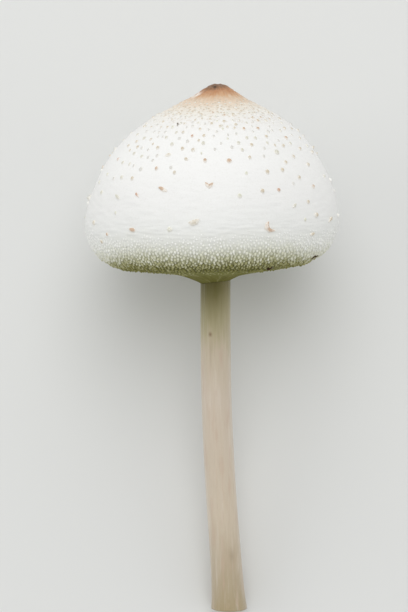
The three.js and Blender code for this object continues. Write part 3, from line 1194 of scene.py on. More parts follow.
MARKS: tuple[Mark, ...] = tuple(
    Mark(*place, tone)
    for tone, places in {
        Tone.RUST: (
            (192.4, 136.5, 0.8, 0.3), (118.5, 159.7, 0.8, 0.36), (278.6, 190.4, 1.0, 0.42),
        ),
        Tone.BROWN: (
            (212.7, 112.8, 0.6, 0.2), (224.5, 115.2, 0.7, 0.22), (243.6, 129.7, 0.9, 0.3),
            (257.8, 128.9, 0.9, 0.3), (286.2, 138.0, 1.0, 0.32), (205.2, 160.5, 1.0, 0.36),
            (229.0, 161.2, 1.4, 0.36), (156.6, 168.6, 1.0, 0.36), (312.9, 187.0, 1.0, 0.42),
            (107.5, 234.4, 0.8, 0.4),
        ),
        Tone.TAN: (
            (232.5, 116.2, 0.5, 0.24), (210.0, 119.8, 0.5, 0.24), (269.6, 119.8, 0.4, 0.24),
            (163.2, 122.0, 0.6, 0.22), (211.5, 124.0, 0.8, 0.25), (224.0, 122.0, 0.9, 0.25),
            (252.0, 118.6, 0.6, 0.2), (144.2, 126.7, 0.6, 0.22), (200.3, 129.7, 0.8, 0.28),
            (284.5, 128.4, 0.8, 0.3), (203.9, 136.3, 0.9, 0.28), (150.6, 138.9, 0.8, 0.24),
            (266.4, 136.8, 0.9, 0.3), (136.6, 141.6, 0.8, 0.26), (128.7, 146.1, 0.8, 0.32),
            (137.5, 147.0, 0.8, 0.26), (157.7, 147.7, 0.9, 0.3), (182.4, 149.0, 1.0, 0.3),
            (251.5, 145.5, 1.0, 0.3), (283.3, 146.1, 0.9, 0.3), (299.7, 149.0, 0.9, 0.36),
            (293.5, 156.6, 1.0, 0.34), (249.3, 158.0, 0.9, 0.3), (267.3, 172.3, 1.2, 0.36),
            (282.3, 170.3, 1.1, 0.34), (285.7, 162.5, 1.0, 0.34), (307.8, 164.7, 1.1, 0.42),
            (298.9, 177.9, 0.9, 0.4), (132.7, 178.8, 1.1, 0.34), (262.0, 191.3, 1.1, 0.4),
            (307.8, 201.9, 1.0, 0.38), (315.8, 215.1, 1.2, 0.42), (102.5, 241.6, 1.0, 0.36),
            (195.2, 120.5, 0.6, 0.2), (178.8, 113.0, 0.6, 0.2), (241.1, 105.2, 0.5, 0.18),
            (251.6, 107.0, 0.5, 0.18), (240.8, 111.3, 0.5, 0.18), (161.0, 126.9, 0.6, 0.2),
            (167.2, 126.9, 0.7, 0.22), (152.7, 143.6, 0.6, 0.2), (268.8, 113.6, 0.6, 0.2),
            (291.7, 128.8, 0.7, 0.22),
        ),
        Tone.PEACH: (
            (218.8, 113.0, 0.5, 0.24), (239.4, 121.2, 0.5, 0.24), (265.0, 120.1, 0.5, 0.24),
            (219.8, 127.1, 0.6, 0.24), (227.3, 127.7, 0.7, 0.26), (234.4, 128.6, 0.7, 0.26),
            (183.1, 132.3, 0.8, 0.26), (198.8, 140.9, 0.8, 0.26), (130.2, 150.4, 0.7, 0.26),
            (193.2, 150.2, 1.1, 0.32), (274.7, 145.6, 0.8, 0.22), (311.5, 152.9, 0.9, 0.4),
            (174.3, 172.3, 0.9, 0.28), (94.0, 222.7, 1.3, 0.36), (184.7, 124.0, 0.6, 0.18),
            (201.9, 118.9, 0.6, 0.18), (199.0, 113.8, 0.6, 0.18), (151.2, 126.9, 0.6, 0.18),
            (299.8, 138.4, 0.8, 0.26),
        ),
        Tone.OLIVE: (
            (281.3, 123.0, 0.5, 0.24), (181.0, 123.6, 0.6, 0.3), (198.6, 123.3, 0.7, 0.22),
            (232.6, 121.0, 0.6, 0.2), (246.5, 123.5, 0.7, 0.2), (259.7, 121.3, 0.6, 0.2),
            (280.3, 130.4, 0.7, 0.24), (176.3, 132.6, 0.8, 0.24), (137.5, 134.6, 0.8, 0.28),
            (143.9, 138.2, 1.0, 0.3), (166.2, 137.3, 0.8, 0.26), (246.5, 138.7, 0.9, 0.28),
            (255.3, 138.5, 0.9, 0.28), (267.1, 143.3, 0.8, 0.24), (290.4, 143.3, 0.8, 0.28),
            (134.1, 153.7, 0.9, 0.3), (141.7, 156.6, 1.0, 0.28), (172.1, 144.3, 1.0, 0.32),
            (203.4, 143.9, 1.0, 0.28), (238.5, 143.6, 1.0, 0.28), (242.2, 150.5, 0.9, 0.26),
            (276.6, 152.6, 1.5, 0.34), (123.1, 163.0, 0.9, 0.3), (129.9, 164.4, 0.8, 0.28),
            (323.4, 176.6, 0.9, 0.42), (122.3, 177.7, 1.0, 0.32), (101.6, 192.6, 1.1, 0.34),
        ),
        Tone.GREY: (
            (273.1, 123.2, 0.5, 0.24), (205.2, 124.6, 0.6, 0.22), (252.8, 132.3, 0.6, 0.22),
            (213.8, 136.8, 0.6, 0.22), (227.9, 135.6, 0.6, 0.22), (221.0, 143.9, 0.6, 0.22),
            (169.1, 117.9, 0.5, 0.2), (192.7, 126.7, 0.7, 0.2), (208.8, 130.1, 0.7, 0.22),
            (216.6, 132.3, 0.8, 0.22), (267.9, 131.8, 0.9, 0.28), (165.0, 131.8, 0.8, 0.24),
            (236.3, 134.6, 0.7, 0.22), (179.4, 138.5, 0.9, 0.26), (187.7, 141.6, 0.9, 0.24),
            (141.7, 147.7, 0.8, 0.26), (148.1, 157.6, 0.8, 0.24), (152.5, 160.5, 0.7, 0.2),
            (157.0, 155.6, 0.9, 0.26), (214.9, 149.6, 0.7, 0.22), (231.6, 147.8, 0.9, 0.24),
            (264.2, 148.7, 0.8, 0.22), (263.7, 156.8, 0.8, 0.24), (134.0, 166.0, 0.7, 0.24),
            (141.0, 169.6, 1.2, 0.3), (170.8, 167.4, 0.9, 0.3), (293.0, 183.8, 0.7, 0.24),
            (114.3, 178.8, 0.7, 0.24), (200.6, 116.4, 0.6, 0.2), (252.6, 122.1, 0.6, 0.18),
            (258.3, 119.2, 0.5, 0.18), (186.9, 127.5, 0.6, 0.18), (239.2, 114.4, 0.6, 0.2),
            (242.7, 116.7, 0.5, 0.18), (217.8, 117.3, 0.6, 0.18), (181.2, 117.0, 0.6, 0.18),
            (192.3, 122.7, 0.6, 0.18), (158.8, 131.8, 0.8, 0.2), (153.8, 131.3, 0.7, 0.18),
            (157.4, 124.6, 0.7, 0.18), (146.3, 130.9, 0.7, 0.18), (157.6, 136.3, 0.6, 0.18),
            (162.5, 136.3, 0.6, 0.18), (147.8, 149.6, 0.7, 0.18), (173.0, 121.5, 0.6, 0.18),
            (263.4, 114.6, 0.6, 0.18), (256.7, 113.0, 0.5, 0.18), (277.7, 118.9, 0.6, 0.18),
            (272.1, 130.6, 0.7, 0.2), (269.6, 126.8, 0.6, 0.16), (292.0, 135.3, 0.7, 0.2),
            (278.6, 140.6, 0.6, 0.18), (251.8, 126.8, 0.6, 0.16),
        ),
        Tone.CREAM: (
            (227.6, 139.4, 0.5, 0.2), (201.3, 153.6, 0.5, 0.22), (246.1, 173.5, 0.8, 0.22),
            (107.9, 174.5, 0.7, 0.24), (99.4, 182.1, 0.8, 0.28), (239.7, 195.9, 1.2, 0.32),
            (304.8, 219.7, 0.8, 0.26), (115.5, 212.9, 0.6, 0.2), (217.2, 121.5, 0.6, 0.18),
            (222.9, 129.4, 0.7, 0.18), (172.6, 127.3, 0.8, 0.25), (306.6, 146.2, 0.8, 0.26),
        ),
    }.items()
    for place in places
)

RIDGES: tuple[Ridge, ...] = (
    Ridge(
        (
            (158.2, 187.2, 0.7, 0.35, 0.9),
            (160.8, 188.3, 1.0, 0.55, 1.3),
            (163.4, 189.9, 1.2, 0.5, 0.5),
            (167.0, 191.6, 0.9, 0.4, 0.4),
        ),
        Tone.BROWN,
    ),
    Ridge(
        (
            (205.0, 182.0, 1.0, 0.4, 1.5),
            (207.2, 184.9, 1.2, 0.5, 0.5),
            (209.4, 186.2, 1.3, 0.55, 0.55),
            (211.2, 184.9, 1.1, 0.55, 0.7),
            (213.2, 182.4, 1.1, 0.55, 2.0),
        ),
        Tone.BROWN,
    ),
    Ridge(
        (
            (188.6, 222.6, 1.1, 0.4, 0.9),
            (192.2, 223.4, 1.6, 0.6, 0.5),
            (195.8, 222.2, 1.7, 0.7, 0.7),
            (198.8, 219.2, 1.3, 0.6, 1.2),
        ),
        Tone.PEACH,
    ),
    Ridge(
        (
            (128.6, 229.4, 0.9, 0.4, 0.7),
            (131.6, 229.9, 1.2, 0.5, 0.8),
            (135.0, 230.8, 1.4, 0.65, 1.7),
        ),
        Tone.BROWN,
    ),
    Ridge(
        ((166.8, 229.6, 1.2, 0.4, 0.6), (169.5, 229.4, 1.5, 0.55, 0.6), (172.0, 229.8, 1.1, 0.4, 0.6)),
        Tone.CREAM,
    ),
    Ridge(
        ((136.3, 192.8, 0.6, 0.4, 1.0), (137.0, 195.0, 0.7, 0.45, 0.9), (138.8, 197.4, 0.6, 0.3, 0.3)),
        Tone.RUST,
    ),
    Ridge(
        ((164.9, 155.6, 1.0, 0.26, 0.2), (168.5, 154.8, 1.3, 0.3, 0.8), (171.0, 153.6, 0.9, 0.26, 0.9)),
        Tone.PEACH,
    ),
    Ridge(
        ((184.6, 157.6, 0.8, 0.3, 1.0), (186.2, 159.2, 1.0, 0.34, 0.8), (188.0, 160.2, 0.8, 0.26, 0.4)),
        Tone.TAN,
    ),
    Ridge(
        (
            (268.8, 221.4, 1.1, 0.5, 1.5),
            (267.0, 224.6, 1.2, 0.5, 0.7),
            (266.8, 228.0, 1.4, 0.55, 0.6),
            (269.8, 230.6, 1.4, 0.6, 1.1),
            (275.4, 230.8, 1.1, 0.45, 0.7),
        ),
        Tone.BROWN,
    ),
    Ridge(
        ((309.6, 234.8, 0.8, 0.4, 0.8), (311.8, 234.0, 1.0, 0.5, 1.0), (314.6, 232.6, 0.7, 0.36, 0.4)),
        Tone.TAN,
    ),
    Ridge(
        ((331.4, 216.8, 0.7, 0.5, 0.6), (330.2, 219.4, 0.9, 0.55, 0.9), (328.0, 222.4, 0.7, 0.4, 0.6)),
        Tone.TAN,
    ),
    Ridge(
        ((295.6, 204.0, 0.7, 0.34, 0.8), (294.2, 206.0, 0.9, 0.38, 0.9), (292.4, 208.0, 0.7, 0.3, 0.6)),
        Tone.OLIVE,
    ),
    Ridge(
        ((115.8, 194.8, 0.7, 0.3, 0.6), (117.4, 196.8, 1.0, 0.36, 0.9), (119.8, 199.0, 0.9, 0.3, 0.6)),
        Tone.OLIVE,
    ),
    # Slits and bites, drawn as raised ridges coloured with painted shade in place of the shade inside
    # them.
    Ridge(((177.9, 121.6, 0.5, 0.2, 0.5), (177.8, 126.6, 0.6, 0.25, 0.7)), Tone.PAINTED_SLIT_SHADE),
    Ridge(
        ((311.0, 258.6, 0.8, 0.35, 2.0), (314.6, 256.6, 1.1, 0.4, 2.0), (318.2, 254.8, 0.8, 0.35, 2.0)),
        Tone.PAINTED_SLIT_SHADE,
    ),
    Ridge(
        ((266.2, 268.4, 1.0, 0.55, 2.0), (269.4, 267.6, 1.3, 0.65, 2.0), (272.4, 266.0, 1.0, 0.55, 2.0)),
        Tone.PAINTED_SLIT_SHADE,
    ),
    Ridge(((329.4, 177.6, 1.2, 0.5, 1.0), (331.0, 182.6, 1.4, 0.6, 1.0)), Tone.WHITE),
    Ridge(((333.0, 189.0, 0.9, 0.3, 1.0), (334.0, 192.8, 1.0, 0.3, 1.0)), Tone.WHITE),
    Ridge(((337.0, 213.4, 1.1, 0.5, 1.0), (337.4, 217.4, 1.2, 0.5, 1.0)), Tone.WHITE),
    Ridge(((87.6, 201.0, 0.9, 0.45, 1.0), (87.0, 204.8, 1.0, 0.45, 1.0)), Tone.WHITE),
    Ridge(((101.6, 168.6, 0.7, 0.3, 1.0), (100.6, 171.6, 0.8, 0.3, 1.0)), Tone.WHITE),
)


@dataclass(frozen=True)
class ReliefLayer:
    """One layer of the skin's relief in millimetres, which fades in over a range of distances."""

    depth: float
    wavelength: tuple[float, float, float]
    seed: float
    fade: tuple[float, float]
    from_edge: bool = False

    def at(self, points: Points, along: Points, edge: Points) -> Points:
        """Gives the layer's height.

        Args:
            points: Points of the smooth skin.
            along: Their distances from the tip.
            edge: Their distances from the edge.

        Returns:
            One height for each point.
        """
        share = smoothstep(edge if self.from_edge else along, *self.fade)
        return self.depth * share * coarse_noise(points, self.wavelength, self.seed)


@dataclass
class Cap:
    """The cap: its skin, the crowded warts above its edge, and the tan scales on its dome."""

    form: MushroomForm
    laying: Laying
    view: PictureView
    rows: int = 196
    columns: int = 420
    row_shares: tuple[float, ...] = (0, 0.37, 0.68, 1)
    tip_radius: float = 0.12
    fine_to: float = 21.0
    fine_from_edge: float = 18.0
    round_scale: float = 6.0
    facing_from: float = -0.05
    relief: tuple[ReliefLayer, ...] = (
        ReliefLayer(0.22, (17, 17, 13), 3.1, (5, 25)),
        ReliefLayer(0.15, (1.7, 1.7, 1.3), 11.7, (20, 4)),
        ReliefLayer(0.14, (1.0, 1.0, 0.8), 5.3, (32, 16)),
        ReliefLayer(0.11, (3.6, 3.6, 0.55), 23.9, (34, 48)),
        ReliefLayer(0.13, (0.8, 0.8, 0.9), 41.3, (17, 6), from_edge=True),
    )
    stains: tuple[Patch, ...] = (Patch(214.9, 86.9, 0.55, 0.3),)
    # A painted highlight, the glint on the knob's left flank.
    painted_glint: tuple[Patch, ...] = (Patch(196.2, 95.4, 1.3, 0.32, -0.55),)
    clearings: tuple[Patch, ...] = (
        Patch(314.6, 256.6, 1.1, 0.55, -0.45),
        Patch(269.4, 267.8, 1.1, 0.6, -0.4),
    )
    clearing_from: float = 0.35
    scale_places: tuple[float, ...] = (9, 11, 16, 20, 26, 31, 40, 52, 58, 60)
    scales_behind: tuple[float, ...] = (0, 0.9, 0.7, 0.5, 0.26, 0.18, 0.07, 0.035, 0.025, 0)
    scales_ahead: tuple[float, ...] = (0, 0.9, 0.6, 0.12, 0, 0, 0, 0, 0, 0)
    behind_from: tuple[float, float] = (-0.12, 0.08)
    size_places: tuple[float, ...] = (9, 18, 30, 45, 58)
    scale_sizes: tuple[float, ...] = (0.55, 0.95, 1.3, 1.5, 1.9)
    warts_fade: tuple[float, float] = (12.5, 16)
    warts_shrink: tuple[float, float] = (8, 14.5)
    least_wart: float = 0.5
    search_rows: int = 900
    ridge_sides: int = 12
    lean: float = 0.2
    buried: float = 0.5
    blunt: float = 0.97
    mean_rise: float = 1.15
    lumpiness: float = 0.4
    crest_lean: float = 0.15
    least_crest: float = 0.25

    def build(self) -> list[bpy.types.Object]:
        """Builds the cap's pieces.

        Returns:
            The skin, the warts, the small scales and the large ones.
        """
        length = self.form.cap_outline.length
        shares = np.linspace(0, 1, self.rows)
        reaches = [self.tip_radius, self.fine_to, length - self.fine_from_edge, length]
        along = np.interp(shares, self.row_shares, reaches)
        angle = np.linspace(0, math.tau, self.columns, endpoint=False)
        grid_along, grid_angle = np.meshgrid(along, angle, indexing="ij")
        smooth = self.form.skin_point(grid_along, grid_angle)
        normals = grid_normals(smooth)
        picture = self.view.project(self.form, smooth)
        surface = smooth + normals * self._relief(smooth, grid_along)[..., None]
        stained = self._patched(self.stains, picture, normals)
        # Where the painted highlight lies on the knob's left flank.
        painted_glint = self._patched(self.painted_glint, picture, normals)
        skin = self._skin(surface, grid_along, angle, stained, painted_glint)
        bare = self._patched(self.clearings, picture, normals) > self.clearing_from
        warts = self._warts(surface, grid_along, bare)
        material = ScaleFinish(self.laying).material()
        scales = self._small_scales(surface, normals, grid_along, material)
        return [skin, warts, scales, self._large_scales(material)]

    def _patched(self, patches: Sequence[Patch], picture: Points, normals: Points) -> Points:
        """Marks a few patches of the side that is seen.

        Args:
            patches: The patches.
            picture: The grid's places in the picture.
            normals: The grid's outward directions.

        Returns:
            1 in a patch and 0 away from it, for each point of the grid.
        """
        strengths = [patch.at(picture, self.view.mm_per_px) for patch in patches]
        return np.max(strengths, axis=0) * (normals[..., 1] < self.facing_from)

    def _relief(self, points: Points, along: Points) -> Points:
        """Gives how far the skin stands off its smooth outline, in millimetres.

        Args:
            points: The smooth skin.
            along: Distance from the tip.

        Returns:
            One distance for each point.
        """
        edge = self.form.cap_outline.length - along
        return sum(layer.at(points, along, edge) for layer in self.relief)

    def _skin(
        self, surface: Points, along: Points, turn: Points, stained: Points, painted_glint: Points
    ) -> bpy.types.Object:
        """Closes the skin with its underside and makes it a piece.

        Args:
            surface: The finished grid of the outer skin.
            along: Distance from the tip.
            turn: The columns' angles round the middle.
            stained: Where the skin is stained.
            painted_glint: Where a painted highlight lies on the knob's left flank.

        Returns:
            The skin.
        """
        form = self.form
        length = form.cap_outline.length
        wall = form.veil_radius + form.seam
        veil = form.veil_outline
        under = [(wall, form.cap_shares[-1][1] * form.cap_height)]
        for share in np.linspace(1, 0, 6):
            radius, height = veil.at(share * veil.length)
            under.append((wall if share == 1 else radius, height + form.veil_thickness + form.seam))
        under.append((form.clasp_radius, form.socket_depth + form.seam))
        inner = np.stack([form.under_point(r, h, turn) for r, h in under])
        ends = np.stack([form.skin_point(0, 0.0), form.under_point(0, under[-1][1], 0.0)])
        rings = np.concatenate([surface, inner])
        points = np.concatenate([rings.reshape(-1, 3), ends])
        hidden = np.full(inner.shape[0] * self.columns, length)
        from_tip = np.concatenate([along.ravel(), hidden, [0.0, length]])
        rest = np.zeros(len(points) - stained.size)
        spin = np.tile(turn, len(rings))
        spiral = [np.cos(spin) * self.round_scale, np.sin(spin) * self.round_scale, from_tip[:-2]]
        attributes = {
            "from_tip": from_tip,
            "from_edge": length - from_tip,
            "dark": np.concatenate([stained.ravel(), rest]),
            # pale carries the painted highlight on the knob's left flank.
            "pale": np.concatenate([painted_glint.ravel(), rest]),
            "round_place": np.concatenate([np.stack(spiral, axis=-1), np.zeros((2, 3))]),
        }
        placed = self.laying.press(self.laying.place(points))
        faces = capped_faces(len(rings), self.columns)
        return make_piece("cap_skin", placed, faces, attributes, SkinFinish(self.laying).material())

    def _warts(self, surface: Points, along: Points, bare: Points) -> bpy.types.Object:
        """Grows the crowded pale warts above the edge.

        Args:
            surface: The finished grid of the outer skin.
            along: Distance from the tip.
            bare: Where there are none.

        Returns:
            The warts.
        """
        edge = self.form.cap_outline.length - along
        cover = (1 - smoothstep(edge, *self.warts_fade)) * ~bare
        growing = 1 - smoothstep(edge, *self.warts_shrink)
        size = self.least_wart + (1 - self.least_wart) * growing
        host = make_host(self.laying.place(surface), cover, size, edge)
        tree = GrowthTree(
            growth=Growth.WART,
            spacing=0.8,
            width=0.9,
            length=1.3,
            height=0.5,
            droop=0.5,
            unevenness=0.22,
            seed=4,
        )
        return tree.grow("cap_warts", host, WartFinish(self.laying).material())

    def _small_scales(
        self, surface: Points, normals: Points, along: Points, material: bpy.types.Material
    ) -> bpy.types.Object:
        """Grows the small scales, which crowd round the knob, and on the back thin out below it.

        Args:
            surface: The finished grid of the outer skin.
            normals: The grid's outward directions.
            along: Distance from the tip.
            material: The scales' finish.

        Returns:
            The scales.
        """
        unseen = smoothstep(normals @ -self.view.backwards(), *self.behind_from)
        behind = np.interp(along, self.scale_places, self.scales_behind)
        ahead = np.interp(along, self.scale_places, self.scales_ahead)
        cover = ahead + (behind - ahead) * unseen
        size = np.interp(along, self.size_places, self.scale_sizes)
        edge = self.form.cap_outline.length - along
        host = make_host(self.laying.place(surface), cover, size, edge)
        tree = GrowthTree(
            growth=Growth.SCALE,
            spacing=1.3,
            width=1.0,
            length=0.85,
            height=0.34,
            droop=-0.3,
            unevenness=0.3,
            seed=21,
        )
        return tree.grow("cap_scales", host, material)

    def _large_scales(self, material: bpy.types.Material) -> bpy.types.Object:
        """Raises the scales that have places of their own.

        Args:
            material: The scales' finish.

        Returns:
            The scales, as one object.
        """
        form = self.form
        reach = np.linspace(3, form.cap_outline.length, self.search_rows)
        sweep = np.linspace(-math.pi - 0.1, 0.1, self.search_rows)
        along, angle = np.meshgrid(reach, sweep, indexing="ij")
        skin = form.skin_point(along, angle)
        seen = self.view.project(form, skin)
        seen[grid_normals(skin) @ self.view.backwards() < 0] = np.inf
        points, peaks, tones = [], [], []
        faces: Faces = []
        for scale in (*MARKS, *RIDGES):
            knots = np.array(scale.knots())
            spots = [np.argmin(np.linalg.norm(seen - knot[:2], axis=-1)) for knot in knots]
            knot_along = along.ravel()[spots]
            knot_angle = angle.ravel()[spots] + knots[:, 5] / form.cap_outline.at(knot_along)[0]
            body, peak = self._ridge(knot_along, knot_angle, knots, scale.crest_from)
            rows, columns = body.shape[:2]
            faces += ring_faces(rows, columns, len(points))
            head, foot = np.arange(columns), np.arange(columns)[::-1] + (rows - 1) * columns
            faces += [tuple((end + len(points)).tolist()) for end in (head, foot)]
            points += body.reshape(-1, 3).tolist()
            peaks += peak.ravel().tolist()
            tones += [scale.tone.value] * peak.size
        placed = self.laying.place(np.array(points))
        attributes = {"peak": np.array(peaks), "tone": np.array(tones)}
        return make_piece("cap_large_scales", placed, faces, attributes, material)

    def _ridge(
        self, along: Points, angle: Points, knots: Points, crest_from: float
    ) -> tuple[Points, Points]:
        """Shapes one scale as a low ridge with a rounded, uneven crest.

        Args:
            along: The knots' distances from the tip.
            angle: The knots' angles round the middle.
            knots: The knots' thickness, rise and brownness, after their places.
            crest_from: How far up its side its own colour begins.

        Returns:
            The ridge's rings, and how near the crest each point is.
        """
        stations = 4 * (len(knots) - 1) + 1
        at = np.linspace(0, len(knots) - 1, stations)
        order = np.arange(len(knots))
        path_along, path_angle = np.interp(at, order, along), np.interp(at, order, angle)
        thickness, rise, brown = (np.interp(at, order, knots[:, i]) for i in (2, 3, 4))
        middle = self.form.skin_point(path_along, path_angle)
        down = self.form.skin_point(path_along + 0.05, path_angle) - middle
        onward = self.form.skin_point(path_along, path_angle + 0.001) - middle
        out = np.cross(down, onward)
        out /= np.linalg.norm(out, axis=-1, keepdims=True)
        middle = middle + out * self._relief(middle, path_along)[:, None]
        ahead = np.gradient(middle, axis=0)
        ahead /= np.maximum(np.linalg.norm(ahead, axis=-1, keepdims=True), TINY)
        across = np.cross(out, ahead)
        across *= np.sign((across * down).sum(axis=-1).mean())
        taper = np.sqrt(1 - np.linspace(-self.blunt, self.blunt, stations) ** 2)
        lumps = self.mean_rise + self.lumpiness * coarse_noise(middle, (0.9, 0.9, 0.9), 63.1)
        turn = np.linspace(0, math.tau, self.ridge_sides, endpoint=False)
        side = np.cos(turn)[None, :] * (0.5 * thickness * taper)[:, None]
        up = np.sin(turn)[None, :] * (rise * taper * lumps)[:, None]
        up = np.where(up < 0, up * self.buried, up)
        aside = across[:, None] * (side - self.lean * up)[..., None]
        rings = middle[:, None] + aside + out[:, None] * up[..., None]
        if np.dot(np.cross(across[0], out[0]), ahead[0]) > 0:
            rings, brown = rings[::-1], brown[::-1]
        upper = smoothstep(np.sin(turn) - self.crest_lean * np.cos(turn), crest_from, 1.0)
        crest_share = self.least_crest + (1 - self.least_crest) * taper**2
        crest = upper[None, :] * (brown * crest_share)[:, None]
        return rings, crest


@dataclass
class Veil:
    """The closed veil under the cap."""

    form: MushroomForm
    laying: Laying
    rows: int = 44
    columns: int = 300
    folds: int = 10
    fold_depth: float = 0.12
    ripple: float = 0.09
    outer_overlap: float = 0.28
    inner_overlap: float = 0.42
    round_scale: float = 6.0
    streak_length: float = 20.0
    wart_edge: float = 3.3
    wart_cover: float = 0.4
    warts_from: tuple[float, float] = (0.5, 0.95)
    least_wart: float = 0.55
    wart_gain: float = 0.25
    clasp_share: float = 0.12
    edge_shares: tuple[float, float] = (0.8, 1)

    def build(self) -> list[bpy.types.Object]:
        """Builds the veil.

        Returns:
            The veil, closed all round, and the few pale warts under its edge.
        """
        form = self.form
        outline = form.veil_outline
        turn = np.linspace(0, math.tau, self.columns, endpoint=False)
        share = np.linspace(0, 1, self.rows)
        shares, angles = np.meshgrid(share, turn, indexing="ij")
        radius, height = outline.at(shares * outline.length)
        radius = radius + self.outer_overlap * smoothstep(shares, *self.edge_shares)
        radius = radius - self._inner(shares)
        fold = self.fold_depth * np.sin(np.pi * shares) * np.sin(self.folds * angles)
        ray = np.stack([np.cos(angles) * 7, np.sin(angles) * 7, radius / 6], axis=-1)
        fold = fold + self.ripple * np.sin(np.pi * shares) * coarse_noise(ray, (0.5, 0.5, 1.0), 7.7)
        below = form.under_point(radius, height + fold, angles)
        above_share = share[::-1][::4]
        radii, heights = outline.at(above_share * outline.length)
        radii = radii - self._inner(above_share)
        above = [form.under_point(r, h + form.veil_thickness, turn) for r, h in zip(radii, heights)]
        rings = np.concatenate([below, np.stack(above)])[::-1]
        all_shares = np.repeat(np.concatenate([share, above_share])[::-1], self.columns)
        spin = np.tile(turn, len(rings))
        around = [np.cos(spin) * self.round_scale, np.sin(spin) * self.round_scale]
        spiral = [*around, all_shares * self.streak_length]
        membrane = make_piece(
            "veil_membrane",
            self.laying.place(rings.reshape(-1, 3)),
            ring_faces(len(rings), self.columns, closes=True),
            {"share": all_shares, "round_place": np.stack(spiral, axis=-1)},
            VeilFinish(self.laying).material(),
        )
        return [membrane, self._warts(below[::-1], shares[::-1])]

    def _inner(self, shares: Points) -> Points:
        """Gives how much further in the veil reaches, close to the stem."""
        return self.inner_overlap * (1 - smoothstep(shares, 0, self.clasp_share))

    def _warts(self, underside: Points, shares: Points) -> bpy.types.Object:
        """Grows a few small warts on the underside, near its edge.

        Args:
            underside: The veil's lower grid, from its edge to the stem.
            shares: How far out each point is, from 0 to 1.

        Returns:
            The warts.
        """
        cover = self.wart_cover * smoothstep(shares, *self.warts_from)
        size = self.least_wart + self.wart_gain * shares
        # The warts take the rim finish's painted shade and olive bounce light at this distance from the
        # edge.
        from_edge = np.full(shares.shape, self.wart_edge)
        host = make_host(self.laying.place(underside), cover, size, from_edge)
        tree = GrowthTree(
            growth=Growth.WART,
            spacing=0.85,
            width=0.95,
            length=1.2,
            height=0.55,
            droop=0.2,
            unevenness=0.2,
            seed=8,
        )
        finish = WartFinish(self.laying, "veil_warts", roughness=0.8, sheen=0.0)
        return tree.grow("veil_warts", host, finish.material())


@dataclass
class Stem:
    """The long slim stem, with silky fibres along it and a flat cut at the foot."""

    form: MushroomForm
    laying: Laying
    view: PictureView
    rows: int = 250
    columns: int = 180
    end_rings: tuple[float, ...] = (0.96, 0.85, 0.6, 0.3)
    cut_depth: float = 0.06
    rim_share: float = 0.96
    cut_tones: tuple[float, ...] = (0.95, 0.9, 0.75, 0.65)
    core_tone: float = 0.6
    fibre_radius: float = 4.3
    fibre_depth: float = 0.035
    swell: float = 0.11
    inset: float = 0.04
    # The first and last are stains; the second is a painted shadow, a faint dark line down the stem.
    stains: tuple[Patch, ...] = (
        Patch(210.3, 334.4, 0.4215, 0.5339, strength=0.85),
        Patch(210.6, 352.0, 0.281, 4.496, strength=0.16),
        Patch(232.0, 556.0, 0.6744, 1.686, strength=0.3),
    )

    def build(self) -> bpy.types.Object:
        """Builds the stem.

        Returns:
            The stem, closed at both ends.
        """
        form = self.form
        bend = Outline(form.bend)
        height, shift = bend.at(np.linspace(bend.length, 0, self.rows))
        turn = np.linspace(0, math.tau, self.columns, endpoint=False)
        heights, angles = np.meshgrid(height, turn, indexing="ij")
        radius = form.stem_radius(heights) + self._fibres(heights, angles)
        across = shift[:, None] + radius * np.cos(angles)
        side = np.stack([across, radius * np.sin(angles), heights], axis=-1)
        rises = [self.cut_depth * (share < self.rim_share) for share in self.end_rings]
        foot = [self._across(side[-1], share, rise) for share, rise in zip(self.end_rings, rises)]
        head = [self._across(side[0], share, 0) for share in self.end_rings[::-1]]
        rings = np.concatenate([np.stack(head), side, np.stack(foot)])
        ends = np.stack([side[0].mean(axis=0), side[-1].mean(axis=0)])
        points = np.concatenate([rings.reshape(-1, 3), ends])
        cut = np.zeros(len(points))
        last = (len(rings) - 1) * self.columns
        for ring, tone in enumerate(self.cut_tones, start=1 - len(self.cut_tones)):
            start = last + ring * self.columns
            cut[start : start + self.columns] = tone
        cut[-1] = self.core_tone
        picture = self.view.project(form, points)
        seen = points[:, 1] < 0
        # Stains, and one painted shadow line.
        spots = [stain.at(picture, self.view.mm_per_px) * seen for stain in self.stains]
        return make_piece(
            "stem_fibres",
            self.laying.press(self.laying.place(points)),
            capped_faces(len(rings), self.columns),
            {"height": points[:, 2], "cut": cut, "stains_and_painted_shadow": np.max(spots, axis=0)},
            StemFinish(self.laying).material(),
        )

    def _fibres(self, heights: Points, angles: Points) -> Points:
        """Gives the relief of the fibres and the stem's slight unevenness, in millimetres."""
        across, deep = np.cos(angles) * self.fibre_radius, np.sin(angles) * self.fibre_radius
        around = np.stack([across, deep, heights], axis=-1)
        fine = coarse_noise(around, (0.32, 0.32, 16), 2.2)
        broad = coarse_noise(around, (2.6, 2.6, 30), 8.6)
        return self.fibre_depth * fine + self.swell * broad - self.inset

    @staticmethod
    def _across(ring: Points, share: float, rise: float) -> Points:
        """Gives a smaller ring inside an end face, sunk or raised a little."""
        middle = ring.mean(axis=0)
        inner = middle + (ring - middle) * share
        inner[:, 2] += rise
        return inner


@dataclass(frozen=True)
class SoftLight:
    """A soft light, by its direction on the upright frame, side in metres and power in watts."""

    name: str
    away: tuple[float, float, float]
    side: float
    power: float


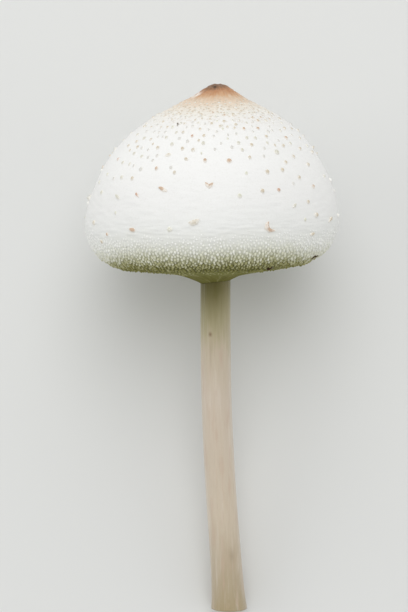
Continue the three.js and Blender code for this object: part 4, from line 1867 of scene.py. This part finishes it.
@dataclass
class Studio:
    """The pale floor, the soft lights and the camera."""

    form: MushroomForm
    laying: Laying
    view: PictureView
    floor_side: float = 6.0
    light_distance: float = 1.1
    ambient: float = 0.66
    lights: tuple[SoftLight, ...] = (
        SoftLight("key", (0.02, -0.82, 0.54), 0.9, 3.35),
        SoftLight("top", (0.0, -0.35, 1.0), 0.9, 1.5),
        SoftLight("left", (-1.0, -0.45, 0.25), 0.7, 1.5),
        SoftLight("right", (1.0, -0.45, -0.1), 0.7, 0.7),
    )

    def build(self) -> None:
        """Sets the stage."""
        self._floor()
        for light in self.lights:
            self._hang(light)
        self._surroundings()
        self._camera()

    def _floor(self) -> None:
        """Lays the plain pale floor."""
        half = self.floor_side / 2
        corners = np.array([(-half, -half, 0), (half, -half, 0), (half, half, 0), (-half, half, 0)])
        material = FloorFinish(self.laying).material()
        floor = make_piece("studio_floor", corners, [(0, 1, 2, 3)], material=material)

    def _hang(self, light: SoftLight) -> None:
        """Hangs a light round the stem's top and turns it there.

        Args:
            light: The light.
        """
        away = np.array(light.away)
        direction = self.laying.turn(away / np.linalg.norm(away))
        target = self.laying.place(np.array([0, 0, self.form.stem_length]))
        data = bpy.data.lights.new(light.name, "AREA")
        data.shape = "DISK"
        data.size = light.side
        data.energy = light.power
        lamp = bpy.data.objects.new(light.name, data)
        lamp.location = target + direction * self.light_distance
        lamp.rotation_euler = Vector(direction).to_track_quat("Z", "Y").to_euler()
        bpy.context.scene.collection.objects.link(lamp)

    def _surroundings(self) -> None:
        """Lights the studio evenly from all round."""
        world = bpy.data.worlds.new("studio")
        world.use_nodes = True
        background = world.node_tree.nodes["Background"]
        background.inputs["Color"].default_value = (1, 1, 1, 1)
        background.inputs["Strength"].default_value = self.ambient
        bpy.context.scene.world = world
        bpy.context.scene.view_settings.view_transform = "Standard"

    def _camera(self) -> None:
        """Sets the camera where the picture was taken from."""
        data = bpy.data.cameras.new("camera")
        data.sensor_fit = "VERTICAL"
        half_height = self.view.height_px / 2 * self.view.mm_per_px
        data.angle = 2 * math.atan(half_height / self.view.distance)
        data.clip_start = 0.01
        camera = bpy.data.objects.new("camera", data)
        back = Vector(self.laying.turn(self.view.backwards())).normalized()
        right = Vector(self.laying.turn(np.array([1.0, 0, 0]))).normalized()
        turn = Matrix((right, back.cross(right), back)).transposed()
        eye = self.laying.place(self.view.eye(self.form))
        camera.matrix_world = Matrix.Translation(eye) @ turn.to_4x4()
        bpy.context.scene.collection.objects.link(camera)
        bpy.context.scene.camera = camera


def main() -> None:
    """Builds the mushroom and its studio, and reports each piece."""
    logging.basicConfig(level=logging.INFO, format="%(name)s: %(message)s")
    form = MushroomForm()
    laying = Laying(form)
    view = PictureView()
    log.info("lies at %.2f degrees to the floor", math.degrees(laying.tilt))
    skin, *growths = Cap(form, laying, view).build()
    hand_over(skin, "cap_flesh", "cap")
    for growth in growths:
        hand_over(growth, "cap_flesh")
    membrane, specks = Veil(form, laying).build()
    hand_over(membrane, "veil_membrane", "veil")
    hand_over(specks, "veil_membrane")
    hand_over(Stem(form, laying, view).build(), "stem_flesh", "stem")
    Studio(form, laying, view).build()


if __name__ == "__main__":
    main()
